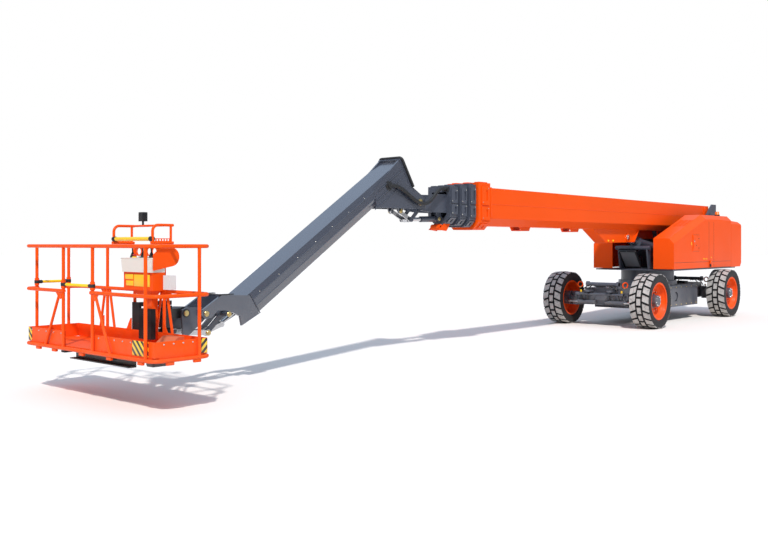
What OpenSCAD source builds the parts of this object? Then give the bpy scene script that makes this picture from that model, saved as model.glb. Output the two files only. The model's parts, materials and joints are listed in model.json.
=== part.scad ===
// Self-propelled boom lift: telescopic main boom with an articulating jib, millimetres, +Z up,
// +X towards the platform. Design coordinates have X = 0 on the swing axis and Z = 0 on the ground.

/* [Wheels and axles] */
// Distance between the front and rear axles
wheelbase = 4155; // [3900:5:4400]
// Distance between the middles of the left and right tyres, axles drawn in
track = 2045; // [2000:5:2120]
// Outer diameter of a tyre over its lugs
tyre_d = 1155; // [1100:1:1200]
// Width of a tyre
tyre_w = 445; // [400:5:460]
// Diameter of the rim where the tyre seats
rim_d = 770; // [720:5:800]
// Depth of the tread lugs
lug_h = 34; // [20:1:45]
// Kingpin radius
kingpin_r = 38; // [30:1:44]
// Distance of a kingpin from the machine's middle plane
kingpin_y = 715; // [690:5:735]

/* [Chassis and turntable] */
// Half width of the chassis girder
chassis_half_w = 420; // [380:5:440]
// Top of the chassis, where the slew ring sits
chassis_top = 930; // [880:5:960]
// Radius of the slew ring
slew_r = 600; // [500:10:680]
// Top of the turntable deck
deck_top = 1200; // [1150:5:1240]
// Half width of the turntable
hood_half_w = 980; // [900:5:1050]
// Inner face of the hoods
hood_in_y = 500; // [470:5:560]
// Front face of the hoods
hood_front = 780; // [700:5:900]
// Joint between the hoods and the counterweight
hood_rear = -2700; // [-2800:10:-2500]
// Back of the counterweight
tail_x = -3420; // [-3600:10:-3380]
// Sheet thickness of the hoods
hood_t = 16; // [8:1:25]

/* [Boom] */
// Height of the boom's top plate
boom_top = 2754; // [2700:2:2800]
// Height of the boom's bottom plate
boom_bottom = 2090; // [2050:2:2130]
// Width of the base section
boom_w = 540; // [500:2:580]
// Plate thickness of the boom sections
boom_t = 8; // [6:1:14]
// Step in half width from one boom section to the next
boom_step = 36; // [30:1:40]
// Front end of the base section's collar
collar_x = 7330; // [7200:10:7450]
// Pivot of the boom on the turret, X
pivot_x = -2950; // [-3000:10:-2900]
// Pivot of the boom on the turret, Z
pivot_z = 2450; // [2400:5:2500]
// Radius of the boom's main pins
boom_pin_r = 50; // [40:1:60]
// Bore diameter of the lift cylinder
lift_bore_d = 200; // [180:2:220]

/* [Jib] */
// Pivot of the jib on the boom nose, X
jib_x = 8760; // [8700:10:8820]
// Pivot of the jib on the boom nose, Z
jib_z = 2440; // [2420:5:2460]
// Slope of the jib at rest, degrees below level
jib_drop = 32.7; // [31:0.1:34]
// Width of the jib
jib_w = 420; // [400:2:440]
// Depth of the jib's tube
jib_depth = 310; // [290:2:330]
// Plate thickness of the jib
jib_t = 8; // [6:1:12]

/* [Platform] */
// Length of the platform across the machine
plat_w = 2770; // [2600:10:2900]
// Front face of the platform's rails
plat_front = 14490; // [14450:5:14550]
// Depth of the platform along the machine
plat_depth = 760; // [740:5:800]
// Height of the floor
floor_z = 600; // [590:1:610]
// Height of the top rail's axis
rail_top_z = 1749; // [1700:1:1800]
// Height of the middle rail's axis
rail_mid_z = 1232; // [1200:1:1260]
// Radius of the rail tubes
rail_r = 21; // [18:0.5:24]

/* [Hidden] */
$fn = 48;
fit = 0.05;
run = 2;
seat = 0.3;
row_mid_x = (plat_front + tail_x) / 2;
axle_x = wheelbase / 2;
wheel_y = track / 2;
wheel_r = tyre_d / 2;
orange = [1, 0.33, 0.1];
grey = [0.27, 0.28, 0.33];
black = [0.08, 0.08, 0.09];
silver = [0.75, 0.75, 0.75];
yellow = [1, 0.8, 0.1];

// Wheel parts, wheel axis along Y, outer side at +Y
rim_depth = tyre_w - 60;
disc_t = 22;
disc_y = 55;
hub_r = 150;
hub_in_r = 95;
hub_cap_r = 112;
hub_cap_h = 120;

// Axle beams, side by side in the cross housings
deck_t = 28;
beam_h = 200;
beam_w = 150;
beam_gap = 12;
beam_z = wheel_r;
beam_x = beam_w / 2 + beam_gap;
beam_wall = 18;
beam_in = 430;
house_wall = 20;
house_half = chassis_half_w + 40;
ear_t = 45;
ear_r = 95;
knuckle_half = 95;
hub_set = ear_r + 10;
steer_rod_r = 22;
steer_barrel_r = 40;
steer_z = beam_z - 60;
steer_tail = 275;
steer_head = 8;
steer_x = beam_x + beam_w / 2 + house_wall + 60;

// Boom sections: each is a box with chamfered lower corners
boom_cham = 128;
boom_mid_z = (boom_top + boom_bottom) / 2;
boom_h = boom_top - boom_bottom;
boom_tail = pivot_x - 100;
collar_gap = 26;
collar_w = [350, 190, 190, 210];
collar_lip = 62;
fly_front = collar_x + 3 * collar_gap + collar_w[1] + collar_w[2] + collar_w[3];
lift_pin = [1318, 1920];
lift_base = [-1900, 1430];
lift_rod_r = 72;
lift_eye_r = 105;
lift_barrel_r = lift_bore_d / 2 + 22;
lift_len = norm(lift_pin - lift_base);
lift_tilt = atan2(lift_pin[1] - lift_base[1], lift_pin[0] - lift_base[0]);
lift_barrel_len = lift_len - 700;

// Jib: lateral layers of the pivots and the plates that share them
jib_half = jib_w / 2;
jib_plate = 25;
nose_out = jib_half - jib_plate - 20;
nose_t = 28;
jib_pin_r = 45;
jib_proud = 4;
rocker_a = [8620, 2370];
rocker_b = [8850, 2165];
link_lug = [9120, 2290];
ram_pin = [8100, 2190];
ram_rod_r = 32;
ram_len = norm(rocker_b - ram_pin);
ram_tilt = atan2(rocker_b[1] - ram_pin[1], rocker_b[0] - ram_pin[0]);
ram_barrel = 400;
ram_tail = 250;
level_p0 = [12945, 913];
level_p1 = [12573, 745];
level_p2 = [12838, 663];
level_p3 = [13190, 690];
level_p4 = level_p0 + level_p2 - level_p3;
tilt_pin = [13200, 930];
turn_x = 13400;
link_r = 40;
pin_r = 26;

// Platform
plat_back = plat_front - plat_depth;
plat_half = plat_w / 2;
rail_bend = 110;
brace_r = 16;
toe_h = 165;
toe_t = 6;
floor_t = 30;
floor_in = 2 * rail_r + 7;
floor_cut = 60;
gate_y = [-460, 175];
side_gate_x = [plat_back + 175, plat_front - 165];

// Extrude a side profile, drawn in X and Z, between two Y planes
module side_plate(points, y0, y1) {
    translate([0, y1, 0])
        rotate([90, 0, 0])
            linear_extrude(y1 - y0)
                polygon(points);
}

// The same profile on the left and on the right
module side_pair(points, y0, y1) {
    side_plate(points, y0, y1);
    side_plate(points, -y1, -y0);
}

// A pin or boss across the machine at a point of the side view
module cross_pin(p, r, y0, y1) {
    translate([p[0], y1, p[1]])
        rotate([90, 0, 0])
            cylinder(h = y1 - y0, r = r);
}

module cross_pair(p, r, y0, y1) {
    cross_pin(p, r, y0, y1);
    cross_pin(p, r, -y1, -y0);
}

// A flat bar with larger and thicker round eyes between two points of the side view
link_waist = 0.78;
link_boss = 2;
module link_plate(p, q, r, y0, y1) {
    d = q - p;
    translate([p[0], 0, p[1]])
        rotate([0, -atan2(d[1], d[0]), 0])
            translate([0.6 * r, y0 + link_boss, -link_waist * r])
                cube([norm(d) - 1.2 * r, y1 - y0 - 2 * link_boss, 2 * link_waist * r]);
    cross_pin(p, r, y0, y1);
    cross_pin(q, r, y0, y1);
}

// A round bar between two points in space, with round ends
module bar(p, q, r) {
    d = q - p;
    translate(p) {
        rotate([0, acos(d[2] / norm(d)), atan2(d[1], d[0])])
            cylinder(h = norm(d), r = r);
        sphere(r = r);
    }
    translate(q)
        sphere(r = r);
}

// A plain round strut between two points in space, its ends buried in what it joins
module strut(p, q, r) {
    d = q - p;
    translate(p)
        rotate([0, acos(d[2] / norm(d)), atan2(d[1], d[0])])
            cylinder(h = norm(d), r = r);
}

// A box given by its lowest and highest corners
module block(lo, hi) {
    translate(lo)
        cube(hi - lo);
}

// Put a wheel-station part, drawn with X = 0 on its axle and +Y outwards, at its corner
module corner(fore, left) {
    translate([fore * axle_x, 0, 0])
        mirror([0, left > 0 ? 0 : 1, 0])
            children();
}

// Flat lug with an eye for a lashing chain, rooted in the end of the chassis girder
lash_x = axle_x + 340;
lash_y = 260;
lash_z = 762;
lash_t = 40;
lash_r = 35;
module lash_lug(fore, side) {
    translate([fore * lash_x, side * lash_y, lash_z])
        cylinder(h = lash_t, r = 2 * lash_r, center = true);
    translate([fore * (lash_x - 140), side * lash_y, lash_z])
        cube([280, 3.4 * lash_r, lash_t - 4], center = true);
}

module chassis_frame() {
    side_len = 1250;
    bottom = 330;
    color(grey)
        difference() {
            union() {
                block([-axle_x - 150, -chassis_half_w, 470],
                    [axle_x + 150, chassis_half_w, chassis_top - 110]);
                block([-side_len, -700, bottom], [side_len, 700, chassis_top - 110]);
                cylinder(h = chassis_top, r = slew_r + 60);
                for (fore = [-1, 1])
                    translate([fore * axle_x, 0, beam_z])
                        cube([2 * (beam_x + beam_w / 2 + house_wall), 2 * house_half,
                            beam_h + 2 * house_wall], center = true);
                for (fore = [-1, 1], side = [-1, 1])
                    lash_lug(fore, side);
            }
            translate([0, 0, -1])
                cylinder(h = bottom + 1, r = slew_r + 80);
            block([-axle_x + 300, -chassis_half_w + 25, 495],
                [axle_x - 300, chassis_half_w - 25, chassis_top - 140]);
            block([-side_len + 25, -675, bottom + 25], [side_len - 25, 675, chassis_top - 140]);
            for (fore = [-1, 1], dx = [-1, 1])
                translate([fore * axle_x + dx * beam_x, 0, beam_z])
                    cube([beam_w + 2 * seat, 2 * house_half + 10, beam_h + 2 * seat], center = true);
            for (fore = [-1, 1], side = [-1, 1])
                translate([fore * lash_x, side * lash_y, lash_z])
                    cylinder(h = 2 * lash_t, r = lash_r, center = true);
            for (side = [-1, 1])
                translate([0, side * 700, 560])
                    rotate([90, 0, 0])
                        cylinder(h = 60, r = 110, center = true);
        }
}

// Sliding axle beam with the kingpin yoke and the steering cylinder's barrel, drawn for a left corner
module axle_beam(fore, left) {
    dx = fore * left * beam_x;
    end_y = kingpin_y - ear_r - 25;
    color(grey)
        corner(fore, left)
            difference() {
                union() {
                    translate([dx - beam_w / 2, -beam_in + 60, beam_z - beam_h / 2])
                        cube([beam_w, end_y + beam_in - 60, beam_h]);
                    block([-beam_x - beam_w / 2, end_y - 60, beam_z - knuckle_half - ear_t],
                        [beam_x + beam_w / 2, end_y, beam_z + knuckle_half + ear_t]);
                    for (s = [-1, 1])
                        translate([0, 0, beam_z + s * (knuckle_half + ear_t / 2 + run)]) {
                            translate([0, kingpin_y, 0])
                                cylinder(h = ear_t, r = ear_r, center = true);
                            translate([0, (kingpin_y + end_y - 60) / 2, 0])
                                cube([2 * ear_r, kingpin_y - end_y + 60, ear_t], center = true);
                        }
                    translate([fore * steer_x, 0, steer_z])
                        rotate([-90, 0, 0])
                            translate([0, 0, 120])
                                cylinder(h = end_y - 60 - 120, r = steer_barrel_r);
                    block([min(fore, 0) * steer_x, end_y - 60,
                        steer_z - 50],
                        [max(fore, 0) * steer_x, end_y - 20,
                        steer_z + 50]);
                }
                translate([0, kingpin_y, 0])
                    cylinder(h = 2 * beam_z, r = kingpin_r + fit);
                translate([fore * steer_x, 0, steer_z])
                    rotate([-90, 0, 0])
                        translate([0, 0, 140])
                            cylinder(h = kingpin_y, r = steer_rod_r + 0.5);
                translate([dx - beam_w / 2 + beam_wall, -beam_in, beam_z - beam_h / 2 + beam_wall])
                    cube([beam_w - 2 * beam_wall, end_y + beam_in - 60, beam_h - 2 * beam_wall]);
            }
}

// Steering rod, which slides out of the barrel on the axle beam
module steer_rod(fore, left) {
    color(silver)
        corner(fore, left)
            translate([fore * steer_x, 0, steer_z])
                rotate([-90, 0, 0]) {
                    translate([0, 0, steer_tail])
                        cylinder(h = kingpin_y - steer_tail, r = steer_rod_r);
                    translate([0, 0, kingpin_y - steer_head])
                        cylinder(h = 45 + steer_head, r = 34);
                }
}

// Steering knuckle: kingpin, body and the hub that carries the wheel
module knuckle(fore, left) {
    color(grey)
        corner(fore, left) {
            translate([0, kingpin_y, beam_z])
                cylinder(h = 2 * (knuckle_half + ear_t + 12), r = kingpin_r, center = true);
            translate([0, kingpin_y, beam_z])
                cylinder(h = 2 * knuckle_half, r = ear_r - 10, center = true);
            translate([0, kingpin_y, beam_z])
                rotate([-90, 0, 0])
                    cylinder(h = wheel_y - kingpin_y + disc_y, r = hub_in_r - 5);
            translate([0, kingpin_y + hub_set, beam_z])
                rotate([-90, 0, 0])
                    cylinder(h = wheel_y - kingpin_y + disc_y - hub_set - disc_t - 6, r = hub_r);
            translate([0, kingpin_y + hub_set - 30, steer_z])
                block([min(fore, 0) * (steer_x + 30), 0, -20], [max(fore, 0) * (steer_x + 30), 40, 20]);
        }
}

// Wheel rim: barrel with flanges, a dished disc and the hub cap; it turns on the knuckle's hub
module rim(fore, left) {
    r = rim_d / 2 - 0.3;
    color(orange)
        corner(fore, left)
            translate([0, wheel_y, beam_z])
                rotate([-90, 0, 0])
                    difference() {
                        union() {
                            rotate_extrude()
                                polygon([[r - 25, -rim_depth / 2], [r, -rim_depth / 2], [r, rim_depth / 2],
                                    [r - 25, rim_depth / 2]]);
                            translate([0, 0, disc_y - disc_t])
                                cylinder(h = disc_t, r = r - 5);
                            translate([0, 0, disc_y])
                                cylinder(h = hub_cap_h, r1 = hub_cap_r + 10, r2 = hub_cap_r - 10);
                        }
                        translate([0, 0, disc_y - disc_t - 1])
                            cylinder(h = disc_t + 1 + 8, r = hub_in_r - 5 + fit);
                    }
}

// Lugged tyre as one shell. Its tread has rows of points across it, each with a radius, a place across the
// tyre, the height of its lugs and the turn of its lugs in pitches; a pitch is a flat lug and a groove.
pitches = 20;
lug_lean = 0.3;
lug_edge = [-0.42, 0.42, 0.5];
lug_on = [1, 1, 0];
lug_pitch = 360 / pitches;
lug_flat = wheel_r / cos(lug_edge[1] * lug_pitch);
tread_base = wheel_r - lug_h;
tread_half = tyre_w / 2 - 12;
tread_columns = 3 * pitches;
wall_columns = tread_columns / 2;
tyre_bore = rim_d / 2 / cos(180 / wall_columns);
wall_rows = [[tyre_bore, rim_depth / 2], [rim_d / 2 + 45, tyre_w / 2 - 6]];
tread_rows = [[tread_base - 55, tyre_w / 2, 0, 0.5 + lug_lean],
    [tread_base - 18, tread_half, lug_h + 10, 0.5 + lug_lean],
    [tread_base, 72, lug_h, 0.5],
    [tread_base - 4, 60, 0, 0.25],
    [tread_base, 48, lug_flat - tread_base, 0]];
function turned(r, turn, y) = [r * cos(turn), r * sin(turn), y];
function wall_ring(row, s) = [for (j = [0 : wall_columns - 1])
    turned(row[0], (2 * j / 3 + 0.5 + lug_lean) * lug_pitch, s * row[1])];
function tread_ring(row, s) = [for (j = [0 : tread_columns - 1])
    turned(row[0] + row[2] * lug_on[j % 3],
        (floor(j / 3) + lug_edge[j % 3] + row[3]) * lug_pitch, s * row[1])];

// Triangles between two rings of n points, and from a ring of n points to one of 2 n and back
function strip(a, b, n) = [for (j = [0 : n - 1]) each [[a + j, b + j, b + (j + 1) % n],
    [a + j, b + (j + 1) % n, a + (j + 1) % n]]];
function fan_out(a, b, n) = [for (j = [0 : n - 1]) each [[a + j, b + 2 * j, b + 2 * j + 1],
    [a + j, b + 2 * j + 1, a + (j + 1) % n], [a + (j + 1) % n, b + 2 * j + 1, b + (2 * j + 2) % (2 * n)]]];
function fan_in(a, b, n) = [for (j = [0 : n - 1]) each [[a + 2 * j, b + j, a + 2 * j + 1],
    [a + 2 * j + 1, b + j, b + (j + 1) % n], [a + 2 * j + 1, b + (j + 1) % n, a + (2 * j + 2) % (2 * n)]]];

module lugged_tyre() {
    rows = len(tread_rows);
    tread = 2 * wall_columns;
    last = tread + (2 * rows - 1) * tread_columns;
    far_wall = last + tread_columns;
    points = concat([for (row = wall_rows) each wall_ring(row, -1)],
        [for (row = tread_rows) each tread_ring(row, -1)],
        [for (i = [rows - 1 : -1 : 0]) each tread_ring(tread_rows[i], 1)],
        wall_ring(wall_rows[1], 1), wall_ring(wall_rows[0], 1));
    faces = concat(strip(0, wall_columns, wall_columns), fan_out(wall_columns, tread, wall_columns),
        [for (i = [0 : 2 * rows - 2])
            each strip(tread + i * tread_columns, tread + (i + 1) * tread_columns, tread_columns)],
        fan_in(last, far_wall, wall_columns), strip(far_wall, far_wall + wall_columns, wall_columns),
        strip(far_wall + wall_columns, 0, wall_columns));
    polyhedron(points, faces);
}

module tyre(fore, left) {
    color(black)
        corner(fore, left)
            translate([0, wheel_y, beam_z])
                rotate([-90, 0, 0])
                    rotate([0, 0, 90])
                        lugged_tyre();
}

module turntable_deck() {
    color(grey)
        union() {
            translate([0, 0, chassis_top + seat])
                cylinder(h = deck_top - deck_t / 2 - chassis_top, r = slew_r);
            block([tail_x + 320, -hood_half_w + 40, deck_top - deck_t],
                [hood_front - 40, hood_half_w - 40, deck_top]);
        }
}

turret_in = 330;
turret_t = 34;

// Arm that carries a hood's hinge pin
module hood_arm(x, side) {
    translate([x, 0, 0])
        rotate([90, 0, 90])
            linear_extrude(30)
                polygon([[side * (turret_in + 10), 1450], [side * (turret_in + turret_t), 1450],
                    [side * (hood_hinge_y + 5), hood_hinge_z - 30], [side * (hood_hinge_y + 5), hood_hinge_z + 28],
                    [side * (hood_hinge_y - 28), hood_hinge_z + 28], [side * (turret_in + 10), 1900]]);
}

module turret() {
    bar_z = 1690;
    color(grey)
        difference() {
            union() {
                side_pair([[700, deck_top], [760, 1480], [800, bar_z], [640, bar_z], [-200, 1600],
                    [-2200, 2080], [-2700, 2520], [-3060, 2800], [-3330, 2800], [-3330, 2400],
                    [hood_rear - 8, 1900], [hood_rear - 8, deck_top]], turret_in, turret_in + turret_t);
                cross_pin([760, bar_z], 45, -turret_in - 90, turret_in + 90);
                block([-2660, -turret_in, deck_top], [-2620, turret_in, 1700]);
                cross_pair([pivot_x, pivot_z], 110, turret_in - 20, turret_in + turret_t + 20);
                for (s = [-1, 1], x = [hood_rear + 300, slope_x - 350])
                    hood_arm(x, s);
                side_pair([[lift_base[0] - 200, deck_top], [lift_base[0] - 70, lift_base[1] + 70],
                    [lift_base[0] + 70, lift_base[1] + 70], [lift_base[0] + 200, deck_top]], 150, 185);
            }
            cross_pin([pivot_x, pivot_z], boom_pin_r + fit, -600, 600);
            cross_pin(lift_base, boom_pin_r + fit, -220, 220);
            for (s = [-1, 1])
                translate([hood_rear, s * hood_hinge_y, hood_hinge_z])
                    rotate([0, 90, 0])
                        cylinder(h = slope_x - hood_rear, r = hood_hinge_r + fit);
            for (x = [120, 480])
                cross_pin([x, 1420], 90, -600, 600);
            for (x = [-300, -900, -1500])
                cross_pin([x, 1400], 120, -600, 600);
        }
}

// Counterweight: cast in the outline of the hoods, with a slot for the boom's tail
module counterweight() {
    top = 2370;
    color(orange)
        difference() {
            side_plate([[tail_x, 1300], [tail_x, 2240], [tail_x + 110, top - 30], [hood_rear - 10, top],
                [hood_rear - 10, deck_top + seat], [tail_x + 80, deck_top + seat]],
                -hood_half_w, hood_half_w);
            block([tail_x - 1, -hood_in_y, 1760], [0, hood_in_y, 3000]);
            for (s = [-1, 1])
                translate([tail_x - 10, s * hood_half_w, top + 15])
                    rotate([45, 0, 0])
                        cube([2000, 150, 150], center = true);
            block([hood_rear - 400, -turret_in - turret_t - 25, 1000],
                [0, turret_in + turret_t + 25, 3000]);
        }
}

module engine_block() {
    color(black)
        block([-2400, -hood_half_w + 90, deck_top], [-900, -hood_in_y - 60, 1900]);
}

module front_panel() {
    color(black)
        translate([830, -turret_in + 0.3, 1620])
            rotate([0, 41, 0])
                translate([0, 0, -520])
                    difference() {
                        translate([-18, 0, 0])
                            cube([36, 430, 520]);
                        translate([6, 30, 30])
                            cube([36, 370, 460]);
                    }
}

// Body of a hood, drawn on the left, with its roof edge chamfered; inset draws the hollow inside it
hood_profile_top = 2470;
hood_front_top = 1900;
hood_foot = deck_top + 12;
hood_cham = 150;
hood_hinge_r = 14;
hood_hinge_y = hood_in_y + 30;
hood_hinge_z = hood_profile_top - hood_t - 50;
slope_x = -1000;
module hood_body(inset, out) {
    cut = hood_cham - inset * 2 * (sqrt(2) - 1);
    slope = atan2(hood_profile_top - hood_front_top, hood_front - inset - slope_x);
    wide = cut + 12;
    difference() {
        side_plate([[hood_front - inset, hood_foot - out],
            [hood_front - inset, hood_front_top - inset],
            [slope_x, hood_profile_top - inset],
            [hood_rear - out, hood_profile_top - inset],
            [hood_rear - out, hood_foot - out]], hood_in_y - out, hood_half_w - inset);
        translate([slope_x, hood_half_w - inset, hood_profile_top - inset]) {
            rotate([0, slope, 0])
                rotate([45, 0, 0])
                    translate([-300, -wide / 2, -wide / 2])
                        cube([2600, wide, wide]);
            rotate([45, 0, 0])
                translate([-2300, -cut / 2, -cut / 2])
                    cube([2600, cut, cut]);
        }
    }
}

// Hood shell with its hinge barrel, open below and towards the boom
module hood_shell() {
    translate([hood_rear + 60, hood_hinge_y, hood_hinge_z])
        rotate([0, 90, 0])
            cylinder(h = slope_x - hood_rear - 120, r = hood_hinge_r);
    for (x = [hood_rear + 70, hood_rear + 560, slope_x - 110])
        block([x, hood_hinge_y - 6, hood_hinge_z],
            [x + 40, hood_hinge_y + 6, hood_profile_top - hood_t + 2]);
    difference() {
        hood_body(0, 0);
        hood_body(hood_t, 20);
    }
}

door_x = [-700, -290];
door_z = [1610, 1985];
door_gap = 5;
door_knuckle = 60;
door_pin_r = 8;
door_pin_y = hood_half_w + door_pin_r + 1;

// A knuckle of the hatch's hinge with the leaf that holds it, forwards on the hood or back on the hatch
module door_hinge(z, h, fore) {
    translate([door_x[1], door_pin_y, z])
        cylinder(h = h, r = door_pin_r);
    block([door_x[1] + min(fore, 0) * 50, hood_half_w - 2, z],
        [door_x[1] + max(fore, 0) * 50, hood_half_w + 2 + door_pin_r, z + h]);
}

module hood_left() {
    color(orange)
        difference() {
            hood_shell();
            block([door_x[0] - door_gap, hood_half_w - 40, door_z[0] - door_gap],
                [door_x[1] + door_gap, hood_half_w + 40, door_z[1] + door_gap]);
        }
    color(orange)
        for (z = [door_z[0], door_z[1] - door_knuckle])
            door_hinge(z, door_knuckle, 1);
}

module hood_right() {
    color(orange)
        mirror([0, 1, 0])
            hood_shell();
}

module control_door() {
    color(orange)
        union() {
            block([door_x[0], hood_half_w - hood_t, door_z[0]], [door_x[1], hood_half_w, door_z[1]]);
            door_hinge(door_z[0] + door_knuckle + seat,
                door_z[1] - door_z[0] - 2 * (door_knuckle + seat), -1);
        }
}

module beacon() {
    color([1, 0.55, 0.05])
        translate([-2350, 760, hood_profile_top + 0.3]) {
            cylinder(h = 40, r = 60);
            cylinder(h = 110, r = 48);
        }
}

// Lift cylinder, drawn along its own axis from the base pin
module along_lift() {
    translate([lift_base[0], 0, lift_base[1]])
        rotate([0, 90 - lift_tilt, 0])
            children();
}

module lift_barrel() {
    color(grey)
        difference() {
            union() {
                along_lift() {
                    cylinder(h = lift_barrel_len, r = lift_barrel_r);
                    translate([0, 0, lift_barrel_len - 90])
                        cylinder(h = 90, r = lift_barrel_r + 14);
                }
                cross_pin(lift_base, 120, -138, 138);
                cross_pin(lift_base, boom_pin_r, -192, 192);
            }
            along_lift() {
                translate([0, 0, 200])
                    cylinder(h = lift_barrel_len - 300, r = lift_bore_d / 2);
                translate([0, 0, 250])
                    cylinder(h = lift_barrel_len, r = lift_rod_r + 0.5);
            }
        }
}

module lift_rod() {
    color(silver)
        union() {
            along_lift()
                translate([0, 0, 300])
                    cylinder(h = lift_len - 300 - lift_eye_r * 0.6, r = lift_rod_r);
            cross_pin(lift_pin, lift_eye_r, -76, 76);
        }
}

// Closed outline of a boom section across the machine, as Y and Z offsets from its middle
function boom_section(half, h, cham) = [[-half, h / 2], [half, h / 2], [half, -h / 2 + cham],
    [half - cham, -h / 2], [-half + cham, -h / 2], [-half, -h / 2 + cham]];

// A length of boom box along X
module boom_prism(x0, x1, half, h, cham) {
    translate([x0, 0, boom_mid_z])
        rotate([90, 0, 90])
            linear_extrude(x1 - x0)
                polygon(boom_section(half, h, cham));
}

// Hollow boom section i, counted from the base outwards
function half_of(i) = boom_w / 2 - i * boom_step;
function height_of(i) = boom_h - 2 * i * boom_step;
function cham_of(i) = boom_cham - i * boom_step * 0.586;
function collar_start(i) = i == 0 ? collar_x - collar_w[0]
    : collar_start(i - 1) + collar_w[i - 1] + collar_gap;
function collar_end(i) = collar_start(i) + collar_w[i];

module boom_box(i, x0) {
    difference() {
        boom_prism(x0, collar_end(i), half_of(i), height_of(i), cham_of(i));
        boom_prism(x0 - 1, collar_end(i) + 1, half_of(i) - boom_t, height_of(i) - 2 * boom_t,
            cham_of(i) - 0.586 * boom_t);
    }
}

// Stepped collar round the front end of section i
module boom_collar(i, half, h) {
    difference() {
        boom_prism(collar_start(i), collar_end(i), half, h, cham_of(0));
        boom_prism(collar_start(i) - 1, collar_end(i) + 1, half_of(i) - boom_t / 2,
            height_of(i) - boom_t, cham_of(i) - 0.293 * boom_t);
    }
}

module boom_base() {
    color(orange)
        difference() {
            union() {
                boom_box(0, boom_tail);
                boom_collar(0, half_of(0) + collar_lip, boom_h + 2 * collar_lip + 20);
                side_pair([[2860, boom_bottom + 5], [2300, 1800], [1040, 1815], [780, boom_bottom + 5]],
                    110, 135);
                side_plate([[2880, boom_bottom + 5], [2860, boom_bottom - 12], [2300, 1788], [2290, 1806],
                    [2830, boom_bottom + 5]], -135, 135);
                cross_pair(lift_pin, 95, 80, 150);
                side_pair([[pivot_x + 260, 2250], [pivot_x + 200, 2700], [pivot_x - 60, 2700],
                    [pivot_x - 130, pivot_z], [pivot_x - 60, 2330]], half_of(0) - 4, half_of(0) + 22);
            }
            boom_prism(boom_tail - 200, collar_x + 10, half_of(0) - boom_t, boom_h - 2 * boom_t,
                boom_cham - 0.586 * boom_t);
        }
    color(silver)
        union() {
            cross_pair([pivot_x, pivot_z], boom_pin_r, half_of(0) - 20, turret_in + turret_t + 25);
            cross_pair(lift_pin, boom_pin_r, 90, 156);
        }
}

module boom_mid_1() {
    color(grey)
        union() {
            boom_box(1, boom_tail + 500);
            boom_collar(1, half_of(0) + 24, boom_h + 60);
        }
}

module boom_mid_2() {
    color(grey)
        union() {
            boom_box(2, boom_tail + 700);
            boom_collar(2, half_of(0) - 6, boom_h + 10);
        }
}

// Fly section with the nose plates that carry the jib
module boom_fly() {
    color(grey)
        difference() {
            union() {
                boom_box(3, boom_tail + 900);
                boom_collar(3, half_of(0) - 36, boom_h - 40);
                side_pair([[fly_front - 60, 2290], [fly_front - 60, 2600], [8300, 2590], [jib_x + 60, 2530],
                    [jib_x + 95, jib_z], [jib_x + 40, 2360], [rocker_a[0] + 60, 2310], [8450, 2290]],
                    nose_out - nose_t, nose_out);
                block([fly_front - 40, -nose_out + 2, 2295], [ram_pin[0] + 60, nose_out - 2, 2330]);
                side_pair([[ram_pin[0] - 60, 2310], [ram_pin[0] + 55, 2310], ram_pin + [38, -40],
                    ram_pin + [-38, -40]], 58, 80);
            }
            cross_pin(ram_pin, pin_r + fit, -100, 100);
            cross_pin([jib_x, jib_z], jib_pin_r + fit, -400, 400);
            cross_pin(rocker_a, pin_r + fit, -400, 400);
        }
}

guide_top = boom_mid_z - boom_h / 2 + 20 - 0.3;
module hose_guide() {
    color(orange)
        difference() {
            union() {
                side_pair([[fly_front - 160, guide_top], [fly_front - 4, guide_top], [fly_front + 150, 2010],
                    [fly_front - 60, 1990]], 90, 110);
                cross_pin([fly_front + 70, 2050], 50, -92, 92);
            }
            cross_pin([fly_front + 70, 2050], 30, -95, 95);
        }
}

// The jib's cylinder, drawn along its own axis from its pin on the boom nose
module along_ram() {
    translate([ram_pin[0], 0, ram_pin[1]])
        rotate([0, 90 - ram_tilt, 0])
            children();
}

module jib_barrel() {
    color(grey)
        difference() {
            union() {
                along_ram()
                    cylinder(h = ram_barrel, r = ram_rod_r + 16);
                cross_pin(ram_pin, 42, -54, 54);
            }
            along_ram()
                translate([0, 0, ram_tail - 40])
                    cylinder(h = ram_barrel, r = ram_rod_r + seat);
        }
    color(silver)
        cross_pin(ram_pin, pin_r, -84, 84);
}

module jib_rod() {
    color(silver)
        union() {
            along_ram()
                translate([0, 0, ram_tail])
                    cylinder(h = ram_len - ram_tail, r = ram_rod_r);
            cross_pin(rocker_b, 45, -45, 45);
        }
}

module jib_rocker() {
    color(grey)
        union() {
            link_plate(rocker_a, rocker_b, link_r, 92, 112);
            link_plate(rocker_a, rocker_b, link_r, -112, -92);
            cross_pair(rocker_a, pin_r, 92, nose_out + 6);
        }
}

module jib_link() {
    color(silver)
        difference() {
            union() {
                link_plate(link_lug, rocker_b, link_r, 62, 84);
                link_plate(link_lug, rocker_b, link_r, -84, -62);
            }
            cross_pin(link_lug, pin_r + fit, -200, 200);
        }
}

// Point of the jib's side view: along the jib from its pivot's foot on the top edge, and below the edge
jib_dir = [cos(jib_drop), -sin(jib_drop)];
jib_norm = [sin(jib_drop), cos(jib_drop)];
jib_o = [9301, 3026];
function on_jib(along, down) = jib_o + along * jib_dir - down * jib_norm;
jib_tube_len = 3600;

function jib_section(w, d) = [[-w / 2 + 12, 0], [w / 2 - 12, 0], [w / 2, -d * 0.3], [w / 2, -d * 0.62],
    [w / 2 - 45, -d], [-w / 2 + 45, -d], [-w / 2, -d * 0.62], [-w / 2, -d * 0.3]];

module jib_prism(a0, a1, w, d, drop) {
    p = on_jib(a0, drop);
    translate([p[0], 0, p[1]])
        rotate([0, jib_drop, 0])
            rotate([90, 0, 90])
                linear_extrude(a1 - a0)
                    polygon(jib_section(w, d));
}

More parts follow.
